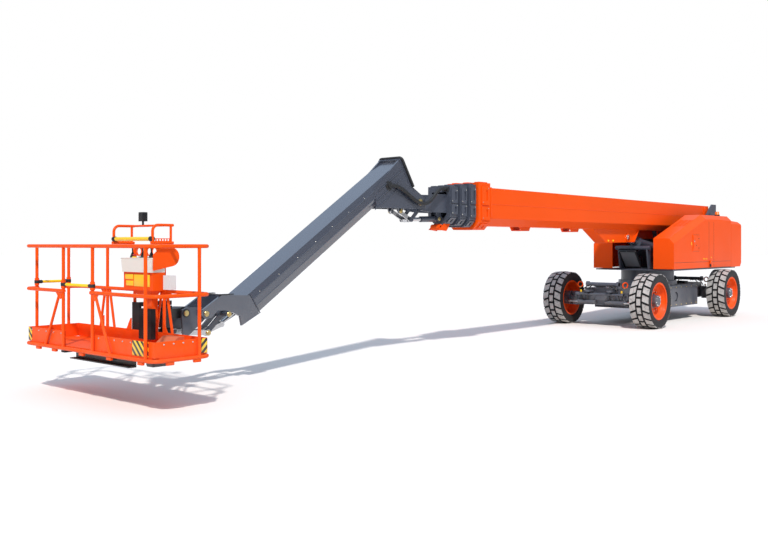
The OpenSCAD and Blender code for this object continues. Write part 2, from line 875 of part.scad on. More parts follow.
// A round length on the levelling rod's axis, measured along the jib from the rod's eye
level_rod_r = 28;
level_tail = -900;
level_barrel = 780;
module along_level(start, h, r) {
    p = level_p1 + start * jib_dir;
    translate([p[0], 0, p[1]])
        rotate([0, 90 + jib_drop, 0])
            cylinder(h = h, r = r);
}

// Web that holds the levelling barrel to the jib's bottom plate
module jib_web(start, h) {
    p = level_p1 + start * jib_dir;
    translate([p[0], -10, p[1]])
        rotate([0, jib_drop, 0])
            translate([0, 0, -jib_depth / 2 + 4])
                cube([h, 20, jib_depth / 2 - 40]);
}

module jib_arm() {
    root = [[9246, 3105], [8970, 2680], [8680, 2530], [8625, jib_z], [8640, 2330], [9790, 2320],
        on_jib(700, 60)];
    nose = [on_jib(3520, 20), [12517, 1124], [12706, 1132], [13000, 960], [13020, 900], [12960, 845],
        [12860, 860], [12770, 942], [12640, 935], [12520, 900], [12412, 845], [12386, 727], on_jib(3520, jib_depth)];
    color(grey)
        difference() {
            union() {
                difference() {
                    jib_prism(-60, jib_tube_len, jib_w, jib_depth, 0);
                    jib_prism(300, jib_tube_len + 1, jib_w - 2 * jib_t, jib_depth - 2 * jib_t, jib_t);
                }
                along_level(level_tail - 400, level_barrel, level_rod_r + 16);
                jib_web(level_tail - 360, level_barrel - 80);
                side_pair(root, jib_half - jib_plate, jib_half + jib_proud);
                side_plate([[9241, 3112], [8962, 2683], [9010, 2660], [9286, 3080]], -jib_half - 10, jib_half + 10);
                side_pair(nose, jib_half - 30, jib_half + jib_proud);
                side_pair([[link_lug[0] - 60, 2400], [link_lug[0] - 45, link_lug[1]], [link_lug[0], link_lug[1] - 42],
                    [link_lug[0] + 45, link_lug[1]], [link_lug[0] + 90, 2400], [9500, 2560], [9300, 2700]], 94, 116);
            }
            cross_pin(level_p4, pin_r + fit, -400, 400);
            along_level(level_tail - 360, level_barrel, level_rod_r + seat);
        }
    color(silver) {
        cross_pair([jib_x, jib_z], jib_pin_r, nose_out - nose_t - 12, jib_half + 10);
        cross_pair(link_lug, pin_r, 60, 118);
        cross_pair(level_p0, jib_pin_r, 108, jib_half + 10);
    }
}

module level_rod() {
    color(silver)
        union() {
            along_level(level_tail, -level_tail, level_rod_r);
            cross_pin(level_p1, 38, -24, 24);
        }
}

module level_link() {
    color(silver)
        difference() {
            union() {
                link_plate(level_p1, level_p2, 36, 30, 50);
                link_plate(level_p1, level_p2, 36, -50, -30);
            }
            cross_pin(level_p2, pin_r + fit, -200, 200);
        }
}

module level_rocker() {
    color(grey)
        union() {
            link_plate(level_p4, level_p2, 42, 58, 88);
            link_plate(level_p4, level_p2, 42, -88, -58);
            cross_pin(level_p4, pin_r, -jib_half - 8, jib_half + 8);
            cross_pin(level_p2, pin_r, -118, 118);
        }
}

module level_bar() {
    color(silver)
        difference() {
            union() {
                link_plate(level_p2, level_p3, 40, 94, 114);
                link_plate(level_p2, level_p3, 40, -114, -94);
            }
            cross_pin(level_p2, pin_r + fit, -200, 200);
            cross_pin(level_p3, pin_r + fit, -200, 200);
        }
}

module platform_yoke() {
    profile = [[12880, 960], [12945, 985], tilt_pin + [-20, 70], tilt_pin + [55, 40], tilt_pin + [60, -40],
        level_p3 + [50, -20], level_p3 + [0, -52], level_p3 + [-50, -20], [12890, 860]];
    color(grey)
        difference() {
            side_pair(profile, 120, 150);
            cross_pin(level_p0, jib_pin_r + fit, -400, 400);
            cross_pin(tilt_pin, boom_pin_r + fit, -400, 400);
        }
    color(silver)
        cross_pair(level_p3, pin_r, 92, 125);
}

// Rotator: a helical actuator on the levelling pin
module rotator() {
    color(black)
        difference() {
            union() {
                translate([turn_x, 0, 765])
                    cylinder(h = 260, r = 86);
                block([tilt_pin[0], -86, tilt_pin[1] - 60], [turn_x, 86, tilt_pin[1] + 60]);
                cross_pin(tilt_pin, 70, -86, 86);
                cross_pin(tilt_pin, boom_pin_r, -158, 158);
            }
            translate([turn_x, 0, 500])
                cylinder(h = 900, r = 50 + fit);
        }
}

module platform_floor() {
    in = floor_in;
    tab = 2 * rail_r + 0.3;
    edge = plat_half - in;
    color(orange)
        union() {
            translate([0, 0, floor_z - floor_t])
                linear_extrude(floor_t)
                    polygon([[plat_back + in + floor_cut, -edge], [plat_front - in - floor_cut, -edge],
                        [plat_front - in, floor_cut - edge], [plat_front - in, edge - floor_cut],
                        [plat_front - in - floor_cut, edge], [plat_back + in + floor_cut, edge],
                        [plat_back + in, edge - floor_cut], [plat_back + in, floor_cut - edge]]);
            for (y = [-1000, -300, 300, 1000])
                block([plat_back + tab, y - 30, floor_z - floor_t],
                    [plat_front - tab, y + 30, floor_z - 2]);
            block([plat_back + 350, -plat_half + tab, floor_z - floor_t],
                [plat_back + 410, plat_half - tab, floor_z - 2]);
            block([plat_back + in, -edge, floor_z],
                [plat_back + in + toe_t, edge, floor_z + toe_h]);
            block([plat_front - in - toe_t, -edge, floor_z],
                [plat_front - in, gate_y[0], floor_z + toe_h]);
            block([plat_front - in - toe_t, gate_y[1], floor_z],
                [plat_front - in, edge, floor_z + toe_h]);
            for (s = [-1, 1])
                translate([0, s * (edge - toe_t / 2), 0])
                    block([plat_back + in, -toe_t / 2, floor_z],
                        [plat_front - in, toe_t / 2, floor_z + toe_h]);
        }
    color(black)
        union() {
            translate([turn_x, 0, 700])
                cylinder(h = 370, r = 50);
            translate([turn_x, 0, 690])
                cylinder(h = 60, r = 82);
            translate([turn_x, 0, 1036])
                cylinder(h = 50, r = 82);
            block([turn_x, -72, 1040], [plat_back + 62, 72, 1082]);
            block([plat_back + 46, -76, floor_z - 10], [plat_back + 74, 76, 1088]);
            block([plat_back + 43, -700, 490], [plat_back + 100, 700, floor_z - floor_t + 2]);
            for (y = [-660, 340])
                block([plat_back + 90, y - 40, 495], [plat_front - 130, y + 40, floor_z - floor_t + 2]);
        }
}

// Half of a rail loop's corner, bent round the vertical axis
module rail_corner(x, y, turn, z) {
    translate([x, y, z])
        rotate([0, 0, turn])
            rotate_extrude(angle = 90)
                translate([rail_bend, 0])
                    circle(r = rail_r);
}

// Closed rail round the platform at one height
module rail_loop(z) {
    x0 = plat_back + rail_r;
    x1 = plat_front - rail_r;
    y1 = plat_half - rail_r;
    for (s = [-1, 1]) {
        translate([x0 + rail_bend, s * y1, z])
            rotate([0, 90, 0])
                cylinder(h = x1 - x0 - 2 * rail_bend, r = rail_r);
    }
    for (x = [x0, x1])
        translate([x, -y1 + rail_bend, z])
            rotate([-90, 0, 0])
                cylinder(h = 2 * (y1 - rail_bend), r = rail_r);
    rail_corner(x1 - rail_bend, y1 - rail_bend, 0, z);
    rail_corner(x0 + rail_bend, y1 - rail_bend, 90, z);
    rail_corner(x0 + rail_bend, -y1 + rail_bend, 180, z);
    rail_corner(x1 - rail_bend, -y1 + rail_bend, 270, z);
}

module post(x, y) {
    translate([x, y, floor_z - 30])
        cylinder(h = rail_top_z - floor_z + 30, r = rail_r - 2);
}

module platform_rails() {
    x0 = plat_back + rail_r;
    x1 = plat_front - rail_r;
    y1 = plat_half - rail_r;
    low = floor_z - 31;
    color(orange)
        difference() {
            union() {
                rail_loop(rail_top_z);
                rail_loop(rail_mid_z);
                rail_loop(low);
                for (y = gate_y)
                    post(x1 - gate_in, y);
                post(x1, y1 - rail_bend - 40);
                for (x = side_gate_x)
                    post(x, -y1 + gate_in);
                post(plat_back + 175, y1);
                for (y = [-700, -100, 500])
                    post(x0, y);
                strut([x1, gate_y[0] - 60, rail_mid_z], [x1, -870, low], brace_r);
                strut([x1, gate_y[1] + 60, rail_mid_z], [x1, 550, low], brace_r);
                for (y = [-700, 500], dy = [-1, 1])
                    strut([x0, y + dy * 50, rail_mid_z], [x0, y + dy * 200, low], brace_r);
            }
            block([x1 - 60, gate_y[0] + rail_r + 6, rail_mid_z - 40],
                [x1 + 60, gate_y[1] - rail_r - 6, rail_mid_z + 40]);
            block([side_gate_x[0] + rail_r + 6, -y1 - 60, rail_mid_z - 40],
                [side_gate_x[1] - rail_r - 6, -y1 + 60, rail_mid_z + 40]);
        }
}

gate_sleeve = 27;
gate_in = gate_sleeve - rail_r;
module gate_bar_front() {
    x1 = plat_front - rail_r - gate_in;
    color(yellow)
        difference() {
            union() {
                for (y = gate_y)
                    translate([x1, y, rail_mid_z + 30])
                        cylinder(h = 90, r = gate_sleeve);
                translate([x1, gate_y[0], rail_mid_z + 75])
                    rotate([-90, 0, 0])
                        cylinder(h = gate_y[1] - gate_y[0], r = 17);
            }
            for (y = gate_y)
                translate([x1, y, rail_mid_z - 200])
                    cylinder(h = 500, r = rail_r + 0.5);
        }
}

module gate_bar_side() {
    y1 = -plat_half + rail_r + gate_in;
    color(yellow)
        difference() {
            union() {
                for (x = side_gate_x)
                    translate([x, y1, rail_mid_z + 30])
                        cylinder(h = 90, r = gate_sleeve);
                translate([side_gate_x[0], y1, rail_mid_z + 75])
                    rotate([0, 90, 0])
                        cylinder(h = side_gate_x[1] - side_gate_x[0], r = 17);
            }
            for (x = side_gate_x)
                translate([x, y1, rail_mid_z - 200])
                    cylinder(h = 500, r = rail_r + 0.5);
        }
}

// Console pedestal on the back rail: a post, a funnel and a box that carries the control box
con_x = plat_back + floor_in + toe_t + seat;
foot_z = floor_z + 5;
con_y = [-30, 560];
con_z = [1245, 1450];
con_deep = 158;
post_y = [254, 424];
module console() {
    mid_y = (post_y[0] + post_y[1]) / 2;
    color(orange)
        union() {
            block([con_x, con_y[0], con_z[0]], [con_x + con_deep, con_y[1], con_z[1]]);
            translate([con_x, 0, 0])
                rotate([90, 0, 90])
                    linear_extrude(con_deep - 30)
                        polygon([[con_y[0] + 110, con_z[0] + 1], [con_y[1] - 70, con_z[0] + 1],
                            [post_y[1] - 20, 1165], [post_y[0] + 20, 1165]]);
            block([con_x, post_y[0], foot_z], [con_x + 80, post_y[1], 1180]);
            side_plate([[con_x + 70, foot_z], [con_x + 170, foot_z], [con_x + 170, foot_z + 18],
                [con_x + 70, foot_z + 78]], mid_y - 6, mid_y + 6);
        }
}

// Control box: wider at its top, with three lever boots
module control_box() {
    top = 1615;
    color([0.85, 0.8, 0.7])
        union() {
            translate([con_x, 0, 0])
                rotate([90, 0, 90])
                    linear_extrude(con_deep + 22)
                        polygon([[con_y[0] - 2, con_z[1] + seat], [con_y[1] + 2, con_z[1] + seat],
                            [con_y[1] + 16, top], [con_y[0] - 28, top]]);
            for (y = [60, 270, 440])
                translate([con_x + 95, y, top - 2])
                    cylinder(h = 44, r1 = 30, r2 = 15);
        }
}

// Hoops over the control box: on each side a front post bent over into a top bar, and a rear post
guard_y = [-165, 625];
guard_r = 16;
guard_bend = 70;
guard_deep = 240;
guard_top = 1985;
guard_foot = rail_top_z + rail_r + guard_r + seat;
module guard_side(y) {
    x0 = plat_back + rail_r;
    front = x0 + guard_deep;
    strut([front, y, guard_foot], [front, y, guard_top - guard_bend], guard_r);
    translate([front - guard_bend, y, guard_top - guard_bend])
        rotate([90, 0, 0])
            rotate_extrude(angle = 90)
                translate([guard_bend, 0])
                    circle(r = guard_r);
    strut([front - guard_bend, y, guard_top], [x0 - 2 * guard_r, y, guard_top], guard_r);
    strut([x0, y, guard_foot], [x0, y, guard_top], guard_r - 2);
    strut([x0 - 2 * guard_r, y, guard_foot], [front + guard_r + 6, y, guard_foot], guard_r - 0.01);
}

module upper_guard() {
    x0 = plat_back + rail_r;
    color(orange)
        union() {
            for (y = guard_y)
                guard_side(y);
            strut([x0, guard_y[0] - 6, guard_top], [x0, guard_y[1] + 6, guard_top], guard_r - 3);
        }
}

module work_light() {
    color(black)
        translate([plat_back + rail_r, 70, guard_top + guard_r - 3 + seat]) {
            cylinder(h = 50, r = 12);
            translate([-35, -40, 40])
                cube([70, 80, 105]);
        }
}

// Manual box on the pedestal, foot switch on the floor and a socket box on the middle rail
module platform_fittings() {
    color(black)
        block([con_x + 80 + seat, post_y[0] + 5, 690], [con_x + 145, post_y[1] + 75, 1035]);
    color([0.8, 0.25, 0.15])
        side_plate([[con_x, foot_z], [con_x + 180, foot_z], [con_x + 180, floor_z + 70],
            [con_x + 80, floor_z + 145], [con_x, floor_z + 145]], 640, 930);
    color([0.9, 0.9, 0.88])
        block([plat_back + 2 * rail_r + seat, 640, 1260], [plat_back + 2 * rail_r + 90, 760, 1420]);
}

// Put a sub-part from the design coordinates into the row's frame
module placed() {
    translate([-row_mid_x, 0, 0])
        children();
}

placed() chassis_frame();
placed() axle_beam(1, 1);  // axle_beam_fl
placed() axle_beam(1, -1);  // axle_beam_fr
placed() axle_beam(-1, 1);  // axle_beam_rl
placed() axle_beam(-1, -1);  // axle_beam_rr
placed() knuckle(1, 1);  // knuckle_fl
placed() knuckle(1, -1);  // knuckle_fr
placed() knuckle(-1, 1);  // knuckle_rl
placed() knuckle(-1, -1);  // knuckle_rr
placed() steer_rod(1, 1);  // steer_rod_fl
placed() steer_rod(1, -1);  // steer_rod_fr
placed() steer_rod(-1, 1);  // steer_rod_rl
placed() steer_rod(-1, -1);  // steer_rod_rr
placed() rim(1, 1);  // rim_fl
placed() rim(1, -1);  // rim_fr
placed() rim(-1, 1);  // rim_rl
placed() rim(-1, -1);  // rim_rr
placed() tyre(1, 1);  // tyre_fl
placed() tyre(1, -1);  // tyre_fr
placed() tyre(-1, 1);  // tyre_rl
placed() tyre(-1, -1);  // tyre_rr
placed() turntable_deck();
placed() turret();
placed() counterweight();
placed() engine_block();
placed() front_panel();
placed() hood_left();
placed() hood_right();
placed() control_door();
placed() beacon();
placed() lift_barrel();
placed() lift_rod();
placed() boom_base();
placed() boom_mid_1();
placed() boom_mid_2();
placed() boom_fly();
placed() hose_guide();
placed() jib_barrel();
placed() jib_rod();
placed() jib_rocker();
placed() jib_link();
placed() jib_arm();
placed() level_rod();
placed() level_link();
placed() level_rocker();
placed() level_bar();
placed() platform_yoke();
placed() rotator();
placed() platform_floor();
placed() platform_rails();
placed() gate_bar_front();
placed() gate_bar_side();
placed() console();
placed() control_box();
placed() upper_guard();
placed() work_light();
placed() platform_fittings();
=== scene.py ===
# %% [markdown]
# # Dressing a boom lift
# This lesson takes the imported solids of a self-propelled boom lift and gives them the finish of the real
# machine: orange and slate enamel, rubber, bright pins, hoses and the many small fittings that a plain
# solid lacks. All lengths are in metres, +X points to the platform, +Y to the machine's left and +Z up.

# %% Load the frame
import json
import math

import bpy
import numpy as np
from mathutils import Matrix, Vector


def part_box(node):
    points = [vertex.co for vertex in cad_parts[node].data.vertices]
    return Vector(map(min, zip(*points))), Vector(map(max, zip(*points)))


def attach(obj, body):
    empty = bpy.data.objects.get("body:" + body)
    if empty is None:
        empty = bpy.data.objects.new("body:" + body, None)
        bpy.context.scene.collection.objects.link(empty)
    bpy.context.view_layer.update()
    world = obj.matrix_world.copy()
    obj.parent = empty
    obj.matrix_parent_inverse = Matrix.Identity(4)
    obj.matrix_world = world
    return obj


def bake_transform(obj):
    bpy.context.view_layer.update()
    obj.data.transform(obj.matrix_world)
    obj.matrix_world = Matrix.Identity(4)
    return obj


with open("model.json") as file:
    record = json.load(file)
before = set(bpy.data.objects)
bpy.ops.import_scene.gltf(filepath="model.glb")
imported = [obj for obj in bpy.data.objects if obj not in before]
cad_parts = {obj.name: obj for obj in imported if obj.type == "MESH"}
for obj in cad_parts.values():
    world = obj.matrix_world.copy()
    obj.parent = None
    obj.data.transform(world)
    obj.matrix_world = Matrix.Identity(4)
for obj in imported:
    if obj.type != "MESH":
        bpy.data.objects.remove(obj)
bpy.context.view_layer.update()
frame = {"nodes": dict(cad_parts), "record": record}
nodes = frame["nodes"]
SCENE = bpy.context.scene
AHEAD, LEFT, UP = (1, 0, 0), (0, 1, 0), (0, 0, 1)

# %% [markdown]
# ## Camera
# The photograph was taken at eye height from beyond the platform's left corner. A camera is a place, a
# heading and a lens; these three were solved from points of the machine that can be told in the picture.

# %% Camera
EYE = (14.045, 8.992, 1.770)
HEADING = math.radians(131.43)
LENS_MM = 40.98
SHIFT_Y = -0.031

camera_data = bpy.data.cameras.new("camera")
camera_data.lens = LENS_MM
camera_data.sensor_width = 36.0
camera_data.shift_y = SHIFT_Y
camera_data.clip_end = 400.0
camera = bpy.data.objects.new("camera", camera_data)
camera.location = EYE
camera.rotation_euler = (math.pi / 2, 0.0, HEADING)
SCENE.collection.objects.link(camera)
SCENE.camera = camera
print("camera at", EYE)

# %% [markdown]
# ## Nodes as expressions
# A finish is a graph of nodes. These helpers write such a graph like plain arithmetic: each adds a node and
# feeds it, and most of them give back the socket that holds the result.

# %% Node helpers
def join(tree, node, **links):
    """Feeds inputs of a node: each keyword is an input, and takes a source socket or a value."""
    for label, source in links.items():
        index = int(label[1:]) if label[0] == "i" and label[1:].isdigit() else label.replace("_", " ")
        if isinstance(source, bpy.types.NodeSocket):
            tree.links.new(source, node.inputs[index])
        else:
            node.inputs[index].default_value = source
    return node


def wire(tree, kind, settings=None, **links):
    """A new node with its settings, fed by the keywords."""
    node = tree.nodes.new("ShaderNode" + kind)
    for key, value in (settings or {}).items():
        setattr(node, key, value)
    return join(tree, node, **links)


def op(tree, operation, *values):
    """The result of one operation on sockets or numbers."""
    terms = {f"i{k}": value for k, value in enumerate(values)}
    return wire(tree, "Math", {"operation": operation}, **terms).outputs[0]


def mix(tree, share, first, second):
    """A colour between two: the first where the share is 0 and the second where it is 1."""
    return wire(tree, "Mix", {"data_type": "RGBA"}, i0=share, i6=first, i7=second).outputs[2]


def ramp(tree, value, low, high, kind="SMOOTHSTEP", **ends):
    """A value's rise from 0 at low to 1 at high, smooth or straight, and level beyond both."""
    return wire(tree, "MapRange", {"interpolation_type": kind}, Value=value, From_Min=low, From_Max=high,
                **ends).outputs[0]


def noise(tree, place, scale, detail, roughness=0.5):
    """Cloudy noise between 0 and 1: each step of detail adds a layer of half the size."""
    return wire(tree, "TexNoise", Vector=place, Scale=scale, Detail=detail, Roughness=roughness).outputs["Fac"]


def coordinates(tree):
    """The object's own coordinates, as one vector and as X, Y and Z."""
    place = wire(tree, "TexCoord").outputs["Object"]
    return place, *wire(tree, "SeparateXYZ", Vector=place).outputs


def blank(name):
    """A new material with its node tree and its shader."""
    material = bpy.data.materials.new(name)
    material.use_nodes = True
    return material, material.node_tree, material.node_tree.nodes["Principled BSDF"]


print("node helpers ready")

# %% [markdown]
# ## Light and floor
# Bright paint needs a large soft source and a pale surround to reflect. A sun from the camera's side gives
# the shadow, and the world fills the rest: neutral near the horizon and cooler overhead, which is what makes
# the upper faces of dark enamel read as blue. The camera itself sees plain white.

# %% World
HORIZON, ZENITH, WHITE = (0.24, 0.24, 0.25, 1), (0.52, 0.64, 0.82, 1), (1.0, 1.0, 1.0, 1)
world = bpy.data.worlds.new("studio")
SCENE.world = world
world.use_nodes = True
air = world.node_tree
air.nodes.clear()
toward = wire(air, "TexCoord").outputs["Generated"]
height = wire(air, "SeparateXYZ", Vector=toward).outputs["Z"]
lit = wire(air, "Background", Color=mix(air, ramp(air, height, 0.05, 0.60), HORIZON, ZENITH))
seen = wire(air, "Background", Color=WHITE)
to_eye = wire(air, "LightPath").outputs["Is Camera Ray"]
both = wire(air, "MixShader", i0=to_eye, i1=lit.outputs[0], i2=seen.outputs[0])
wire(air, "OutputWorld", Surface=both.outputs[0])
print("world nodes:", len(air.nodes))

# %% Sun
SUN_FROM = np.array((0.72, 0.66, 1.15))
sun_data = bpy.data.lights.new("sun", "SUN")
sun_data.energy = 2.95
sun_data.angle = math.radians(3)
sun_data.color = (1.0, 0.985, 0.96)
sun = bpy.data.objects.new("sun", sun_data)
flat = math.hypot(SUN_FROM[0], SUN_FROM[1])
sun.rotation_euler = (math.atan2(flat, SUN_FROM[2]), 0.0, math.atan2(SUN_FROM[0], -SUN_FROM[1]))
SCENE.collection.objects.link(sun)
bpy.context.scene.view_settings.view_transform = "Standard"
print("sun from", SUN_FROM)

# %% Floor
FLOOR_HALF = 120.0
floor_mesh = bpy.data.meshes.new("floor")
floor_mesh.from_pydata([(-FLOOR_HALF, -FLOOR_HALF, 0), (FLOOR_HALF, -FLOOR_HALF, 0),
                        (FLOOR_HALF, FLOOR_HALF, 0), (-FLOOR_HALF, FLOOR_HALF, 0)], [], [(0, 1, 2, 3)])
floor = bpy.data.objects.new("floor", floor_mesh)
SCENE.collection.objects.link(floor)
floor_finish, floor_tree, floor_shader = blank("pale_floor")
join(floor_tree, floor_shader, Base_Color=(0.90, 0.84, 0.78, 1), Roughness=0.9, Specular_IOR_Level=0.1)
floor_mesh.materials.append(floor_finish)
print("floor", 2 * FLOOR_HALF, "m square")

# %% [markdown]
# ## Shared effects
# Enamel on a machine is never one flat colour. Three effects repeat in nearly every finish: the fine
# orange peel of sprayed paint, pale dust that settles low down, and scuffs. Each is a node group with
# named sockets, so that a material only says how much of it there is.

# %% Node group helper
def new_group(name, inputs, outputs):
    """An empty shader node group whose sockets are given as (name, kind, value) and (name, kind)."""
    group = bpy.data.node_groups.new(name, "ShaderNodeTree")
    for label, kind, value in inputs:
        socket = group.interface.new_socket(label, in_out="INPUT", socket_type="NodeSocket" + kind)
        socket.default_value = value
    for label, kind in outputs:
        group.interface.new_socket(label, in_out="OUTPUT", socket_type="NodeSocket" + kind)
    return group, group.nodes.new("NodeGroupInput"), group.nodes.new("NodeGroupOutput")


# %% Peel: the ripple and uneven gloss of sprayed enamel
peel, peel_in, peel_out = new_group("peel", [("Scale", "Float", 60.0), ("Gloss", "Float", 0.35)],
                                    [("Height", "Float"), ("Roughness", "Float")])
place = wire(peel, "TexCoord").outputs["Object"]
uneven = op(peel, "MULTIPLY_ADD", noise(peel, place, 1.7, 5.0), 0.22, -0.11)
join(peel, peel_out, Height=noise(peel, place, peel_in.outputs["Scale"], 3.0),
     Roughness=op(peel, "ADD", peel_in.outputs["Gloss"], uneven))

# %% Dust: a pale film that is thickest near the ground
dust, dust_in, dust_out = new_group(
    "dust", [("Color", "Color", (1, 1, 1, 1)), ("Dust", "Color", (0.42, 0.38, 0.33, 1)),
             ("Top", "Float", 1.2), ("Amount", "Float", 0.4)], [("Color", "Color"), ("Mask", "Float")])
place, x, y, z = coordinates(dust)
fall = ramp(dust, z, dust_in.outputs["Top"], 0.0)
patch = ramp(dust, noise(dust, place, 4.5, 7.0, 0.65), 0.34, 0.68, "LINEAR")
film = op(dust, "MULTIPLY", op(dust, "MULTIPLY", fall, patch), dust_in.outputs["Amount"])
join(dust, dust_out, Color=mix(dust, film, dust_in.outputs["Color"], dust_in.outputs["Dust"]), Mask=film)

# %% Scuff: short rubbed strokes and a slow drift of shade
scuff, scuff_in, scuff_out = new_group(
    "scuff", [("Color", "Color", (1, 1, 1, 1)), ("Worn", "Color", (0.5, 0.5, 0.5, 1)),
              ("Amount", "Float", 0.3), ("Scale", "Float", 3.0)], [("Color", "Color"), ("Mask", "Float")])
place = wire(scuff, "TexCoord").outputs["Object"]
stretch = wire(scuff, "Mapping", Vector=place, Scale=(1.0, 2.2, 5.0)).outputs[0]
stroke = noise(scuff, stretch, scuff_in.outputs["Scale"], 9.0, 0.72)
worn = op(scuff, "MULTIPLY", ramp(scuff, stroke, 0.60, 0.72, "LINEAR"), scuff_in.outputs["Amount"])
shade = ramp(scuff, noise(scuff, place, 0.8, 2.0), 0.0, 1.0, "LINEAR", To_Min=0.93, To_Max=1.05)
toned = wire(scuff, "HueSaturation", Color=scuff_in.outputs["Color"], Value=shade).outputs[0]
join(scuff, scuff_out, Color=mix(scuff, worn, toned, scuff_in.outputs["Worn"]), Mask=worn)
print("effects: peel, dust, scuff")

# %% [markdown]
# ## Finishes
# Every finish is the same Principled shader fed by the shared effects. Numbers that are the same all over
# a surface are set straight on the shader's sockets, and only what varies is wired.

# %% Enamel
DUST_TOP, DUST_MATT, COAT_ROUGH, RIPPLE = 1.3, 0.45, 0.12, 0.004


def enamel(name, color, gloss=0.34, coat=0.12, worn=(0.5, 0.5, 0.5), scuffs=0.18, dirt=0.35, peel_scale=70.0,
           metallic=0.0, bump=0.02, shine=0.5):
    """Sprayed finish: colour through scuffs, then dust; gloss and a fine ripple from the peel group."""
    material, tree, shader = blank(name)
    rub = wire(tree, "Group", {"node_tree": scuff}, Color=(*color, 1), Worn=(*worn, 1), Amount=scuffs)
    film = wire(tree, "Group", {"node_tree": dust}, Color=rub.outputs["Color"], Amount=dirt, Top=DUST_TOP)
    skin = wire(tree, "Group", {"node_tree": peel}, Scale=peel_scale, Gloss=gloss)
    matt = wire(tree, "Math", {"operation": "MULTIPLY_ADD", "use_clamp": True}, i0=film.outputs["Mask"],
                i1=DUST_MATT, i2=skin.outputs["Roughness"])
    relief = wire(tree, "Bump", Height=skin.outputs["Height"], Strength=bump, Distance=RIPPLE)
    join(tree, shader, Base_Color=film.outputs["Color"], Roughness=matt.outputs[0], Normal=relief.outputs[0],
         Metallic=metallic, Specular_IOR_Level=shine, Coat_Weight=coat, Coat_Roughness=COAT_ROUGH)
    return material


ORANGE = (0.90, 0.088, 0.004)
SLATE = (0.060, 0.068, 0.092)
JIB_SLATE = (0.050, 0.058, 0.082)
orange_enamel = enamel("orange_enamel", ORANGE, coat=0.04, worn=(0.78, 0.12, 0.02), dirt=0.12, shine=0.1)
slate_enamel = enamel("slate_enamel", SLATE, coat=0.2, worn=(0.10, 0.108, 0.13), scuffs=0.12, dirt=0.3)
black_enamel = enamel("black_enamel", (0.012, 0.012, 0.014), gloss=0.42, coat=0.1, worn=(0.06, 0.06, 0.06))
yellow_enamel = enamel("yellow_enamel", (0.95, 0.58, 0.012), gloss=0.36, worn=(0.6, 0.42, 0.1))
bright_steel = enamel("bright_steel", (0.62, 0.62, 0.63), gloss=0.24, coat=0.0, worn=(0.4, 0.4, 0.4),
                      metallic=1.0, peel_scale=220.0, bump=0.05)
zinc_gold = enamel("zinc_gold", (0.62, 0.47, 0.2), gloss=0.3, coat=0.0, worn=(0.5, 0.45, 0.35),
                   metallic=1.0, peel_scale=180.0)
beige_plastic = enamel("beige_plastic", (0.75, 0.72, 0.65), gloss=0.48, coat=0.0, worn=(0.5, 0.44, 0.36),
                       peel_scale=320.0, bump=0.12)
print("finishes:", [m.name for m in bpy.data.materials])

# %% Rubber
RUBBER, RUBBED = (0.018, 0.017, 0.018, 1), (0.46, 0.44, 0.42, 1)
tyre_box, rear_box = np.array(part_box("tyre_fl")), np.array(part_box("tyre_rl"))
WHEEL_R = (tyre_box[1][2] - tyre_box[0][2]) / 2
FRONT_X, WHEEL_Y = tyre_box.mean(0)[:2]
REAR_X = rear_box.mean(0)[0]
PITCHES, ROW_SPLIT, LUG_START, LUG_END = 20, 0.060, 0.072, 0.2105
LUG_LEAN = 0.3 / (LUG_END - LUG_START)


def tyre_rubber(name, axle_x):
    """Black moulded rubber, rubbed pale where it is far from the axle; the grooves and a band along their edges stay
    black, partly the grooves' own rubber and partly painted shade.

    A lug's place is the angle round the axle in pitches, less the lug row's turn, which grows across the tyre.
    """
    material, tree, shader = blank(name)
    place, x, y, z = coordinates(tree)
    centred = wire(tree, "Mapping", Vector=place, Location=(-axle_x, 0, -WHEEL_R), Scale=(1, 0, 1))
    reach = wire(tree, "VectorMath", {"operation": "LENGTH"}, i0=centred.outputs[0]).outputs["Value"]
    crown = ramp(tree, reach, WHEEL_R - 0.030, WHEEL_R - 0.016)
    patch = ramp(tree, noise(tree, place, 22.0, 8.0, 0.7), 0.2, 0.5, "LINEAR")
    angle = op(tree, "ARCTAN2", op(tree, "MULTIPLY_ADD", x, -1.0, axle_x), op(tree, "SUBTRACT", WHEEL_R, z))
    across = op(tree, "ABSOLUTE", op(tree, "SUBTRACT", op(tree, "ABSOLUTE", y), WHEEL_Y))
    outer = op(tree, "GREATER_THAN", across, ROW_SPLIT)
    lean = op(tree, "MULTIPLY_ADD", across, LUG_LEAN, 0.5 - LUG_LEAN * LUG_START)
    pitch = op(tree, "MULTIPLY_ADD", angle, PITCHES / math.tau, 0.5)
    phase = op(tree, "SUBTRACT", pitch, op(tree, "MULTIPLY", lean, outer))
    apart = op(tree, "ABSOLUTE", op(tree, "SUBTRACT", op(tree, "FRACT", phase), 0.5))
    # The lug and gap ramps keep the grooves and a band along their edges black: partly groove rubber, partly painted
    # shade.
    lug = ramp(tree, apart, 0.35, 0.39, To_Min=1.0, To_Max=0.0)
    gap = op(tree, "ABSOLUTE", op(tree, "SUBTRACT", across, ROW_SPLIT))
    face = op(tree, "MULTIPLY", lug, ramp(tree, gap, 0.015, 0.021))
    share = op(tree, "MULTIPLY", op(tree, "MULTIPLY", crown, patch), face)
    skin = wire(tree, "Group", {"node_tree": peel}, Scale=140.0, Gloss=0.72)
    relief = wire(tree, "Bump", Height=skin.outputs["Height"], Strength=0.15, Distance=RIPPLE)
    join(tree, shader, Base_Color=mix(tree, share, RUBBER, RUBBED), Roughness=skin.outputs["Roughness"],
         Normal=relief.outputs[0])
    return material


front_rubber = tyre_rubber("front_tyre_rubber", FRONT_X)
rear_rubber = tyre_rubber("rear_tyre_rubber", REAR_X)
print("wheel radius", round(WHEEL_R, 4), "axles at", round(FRONT_X, 4), round(REAR_X, 4))

# %% Paint the solids
FINISH = {"orange_paint": orange_enamel, "grey_paint": slate_enamel, "black_paint": black_enamel,
          "bright_steel": bright_steel, "yellow_paint": yellow_enamel, "beige_plastic": beige_plastic,
          "amber_lens": yellow_enamel, "tyre_rubber": front_rubber}


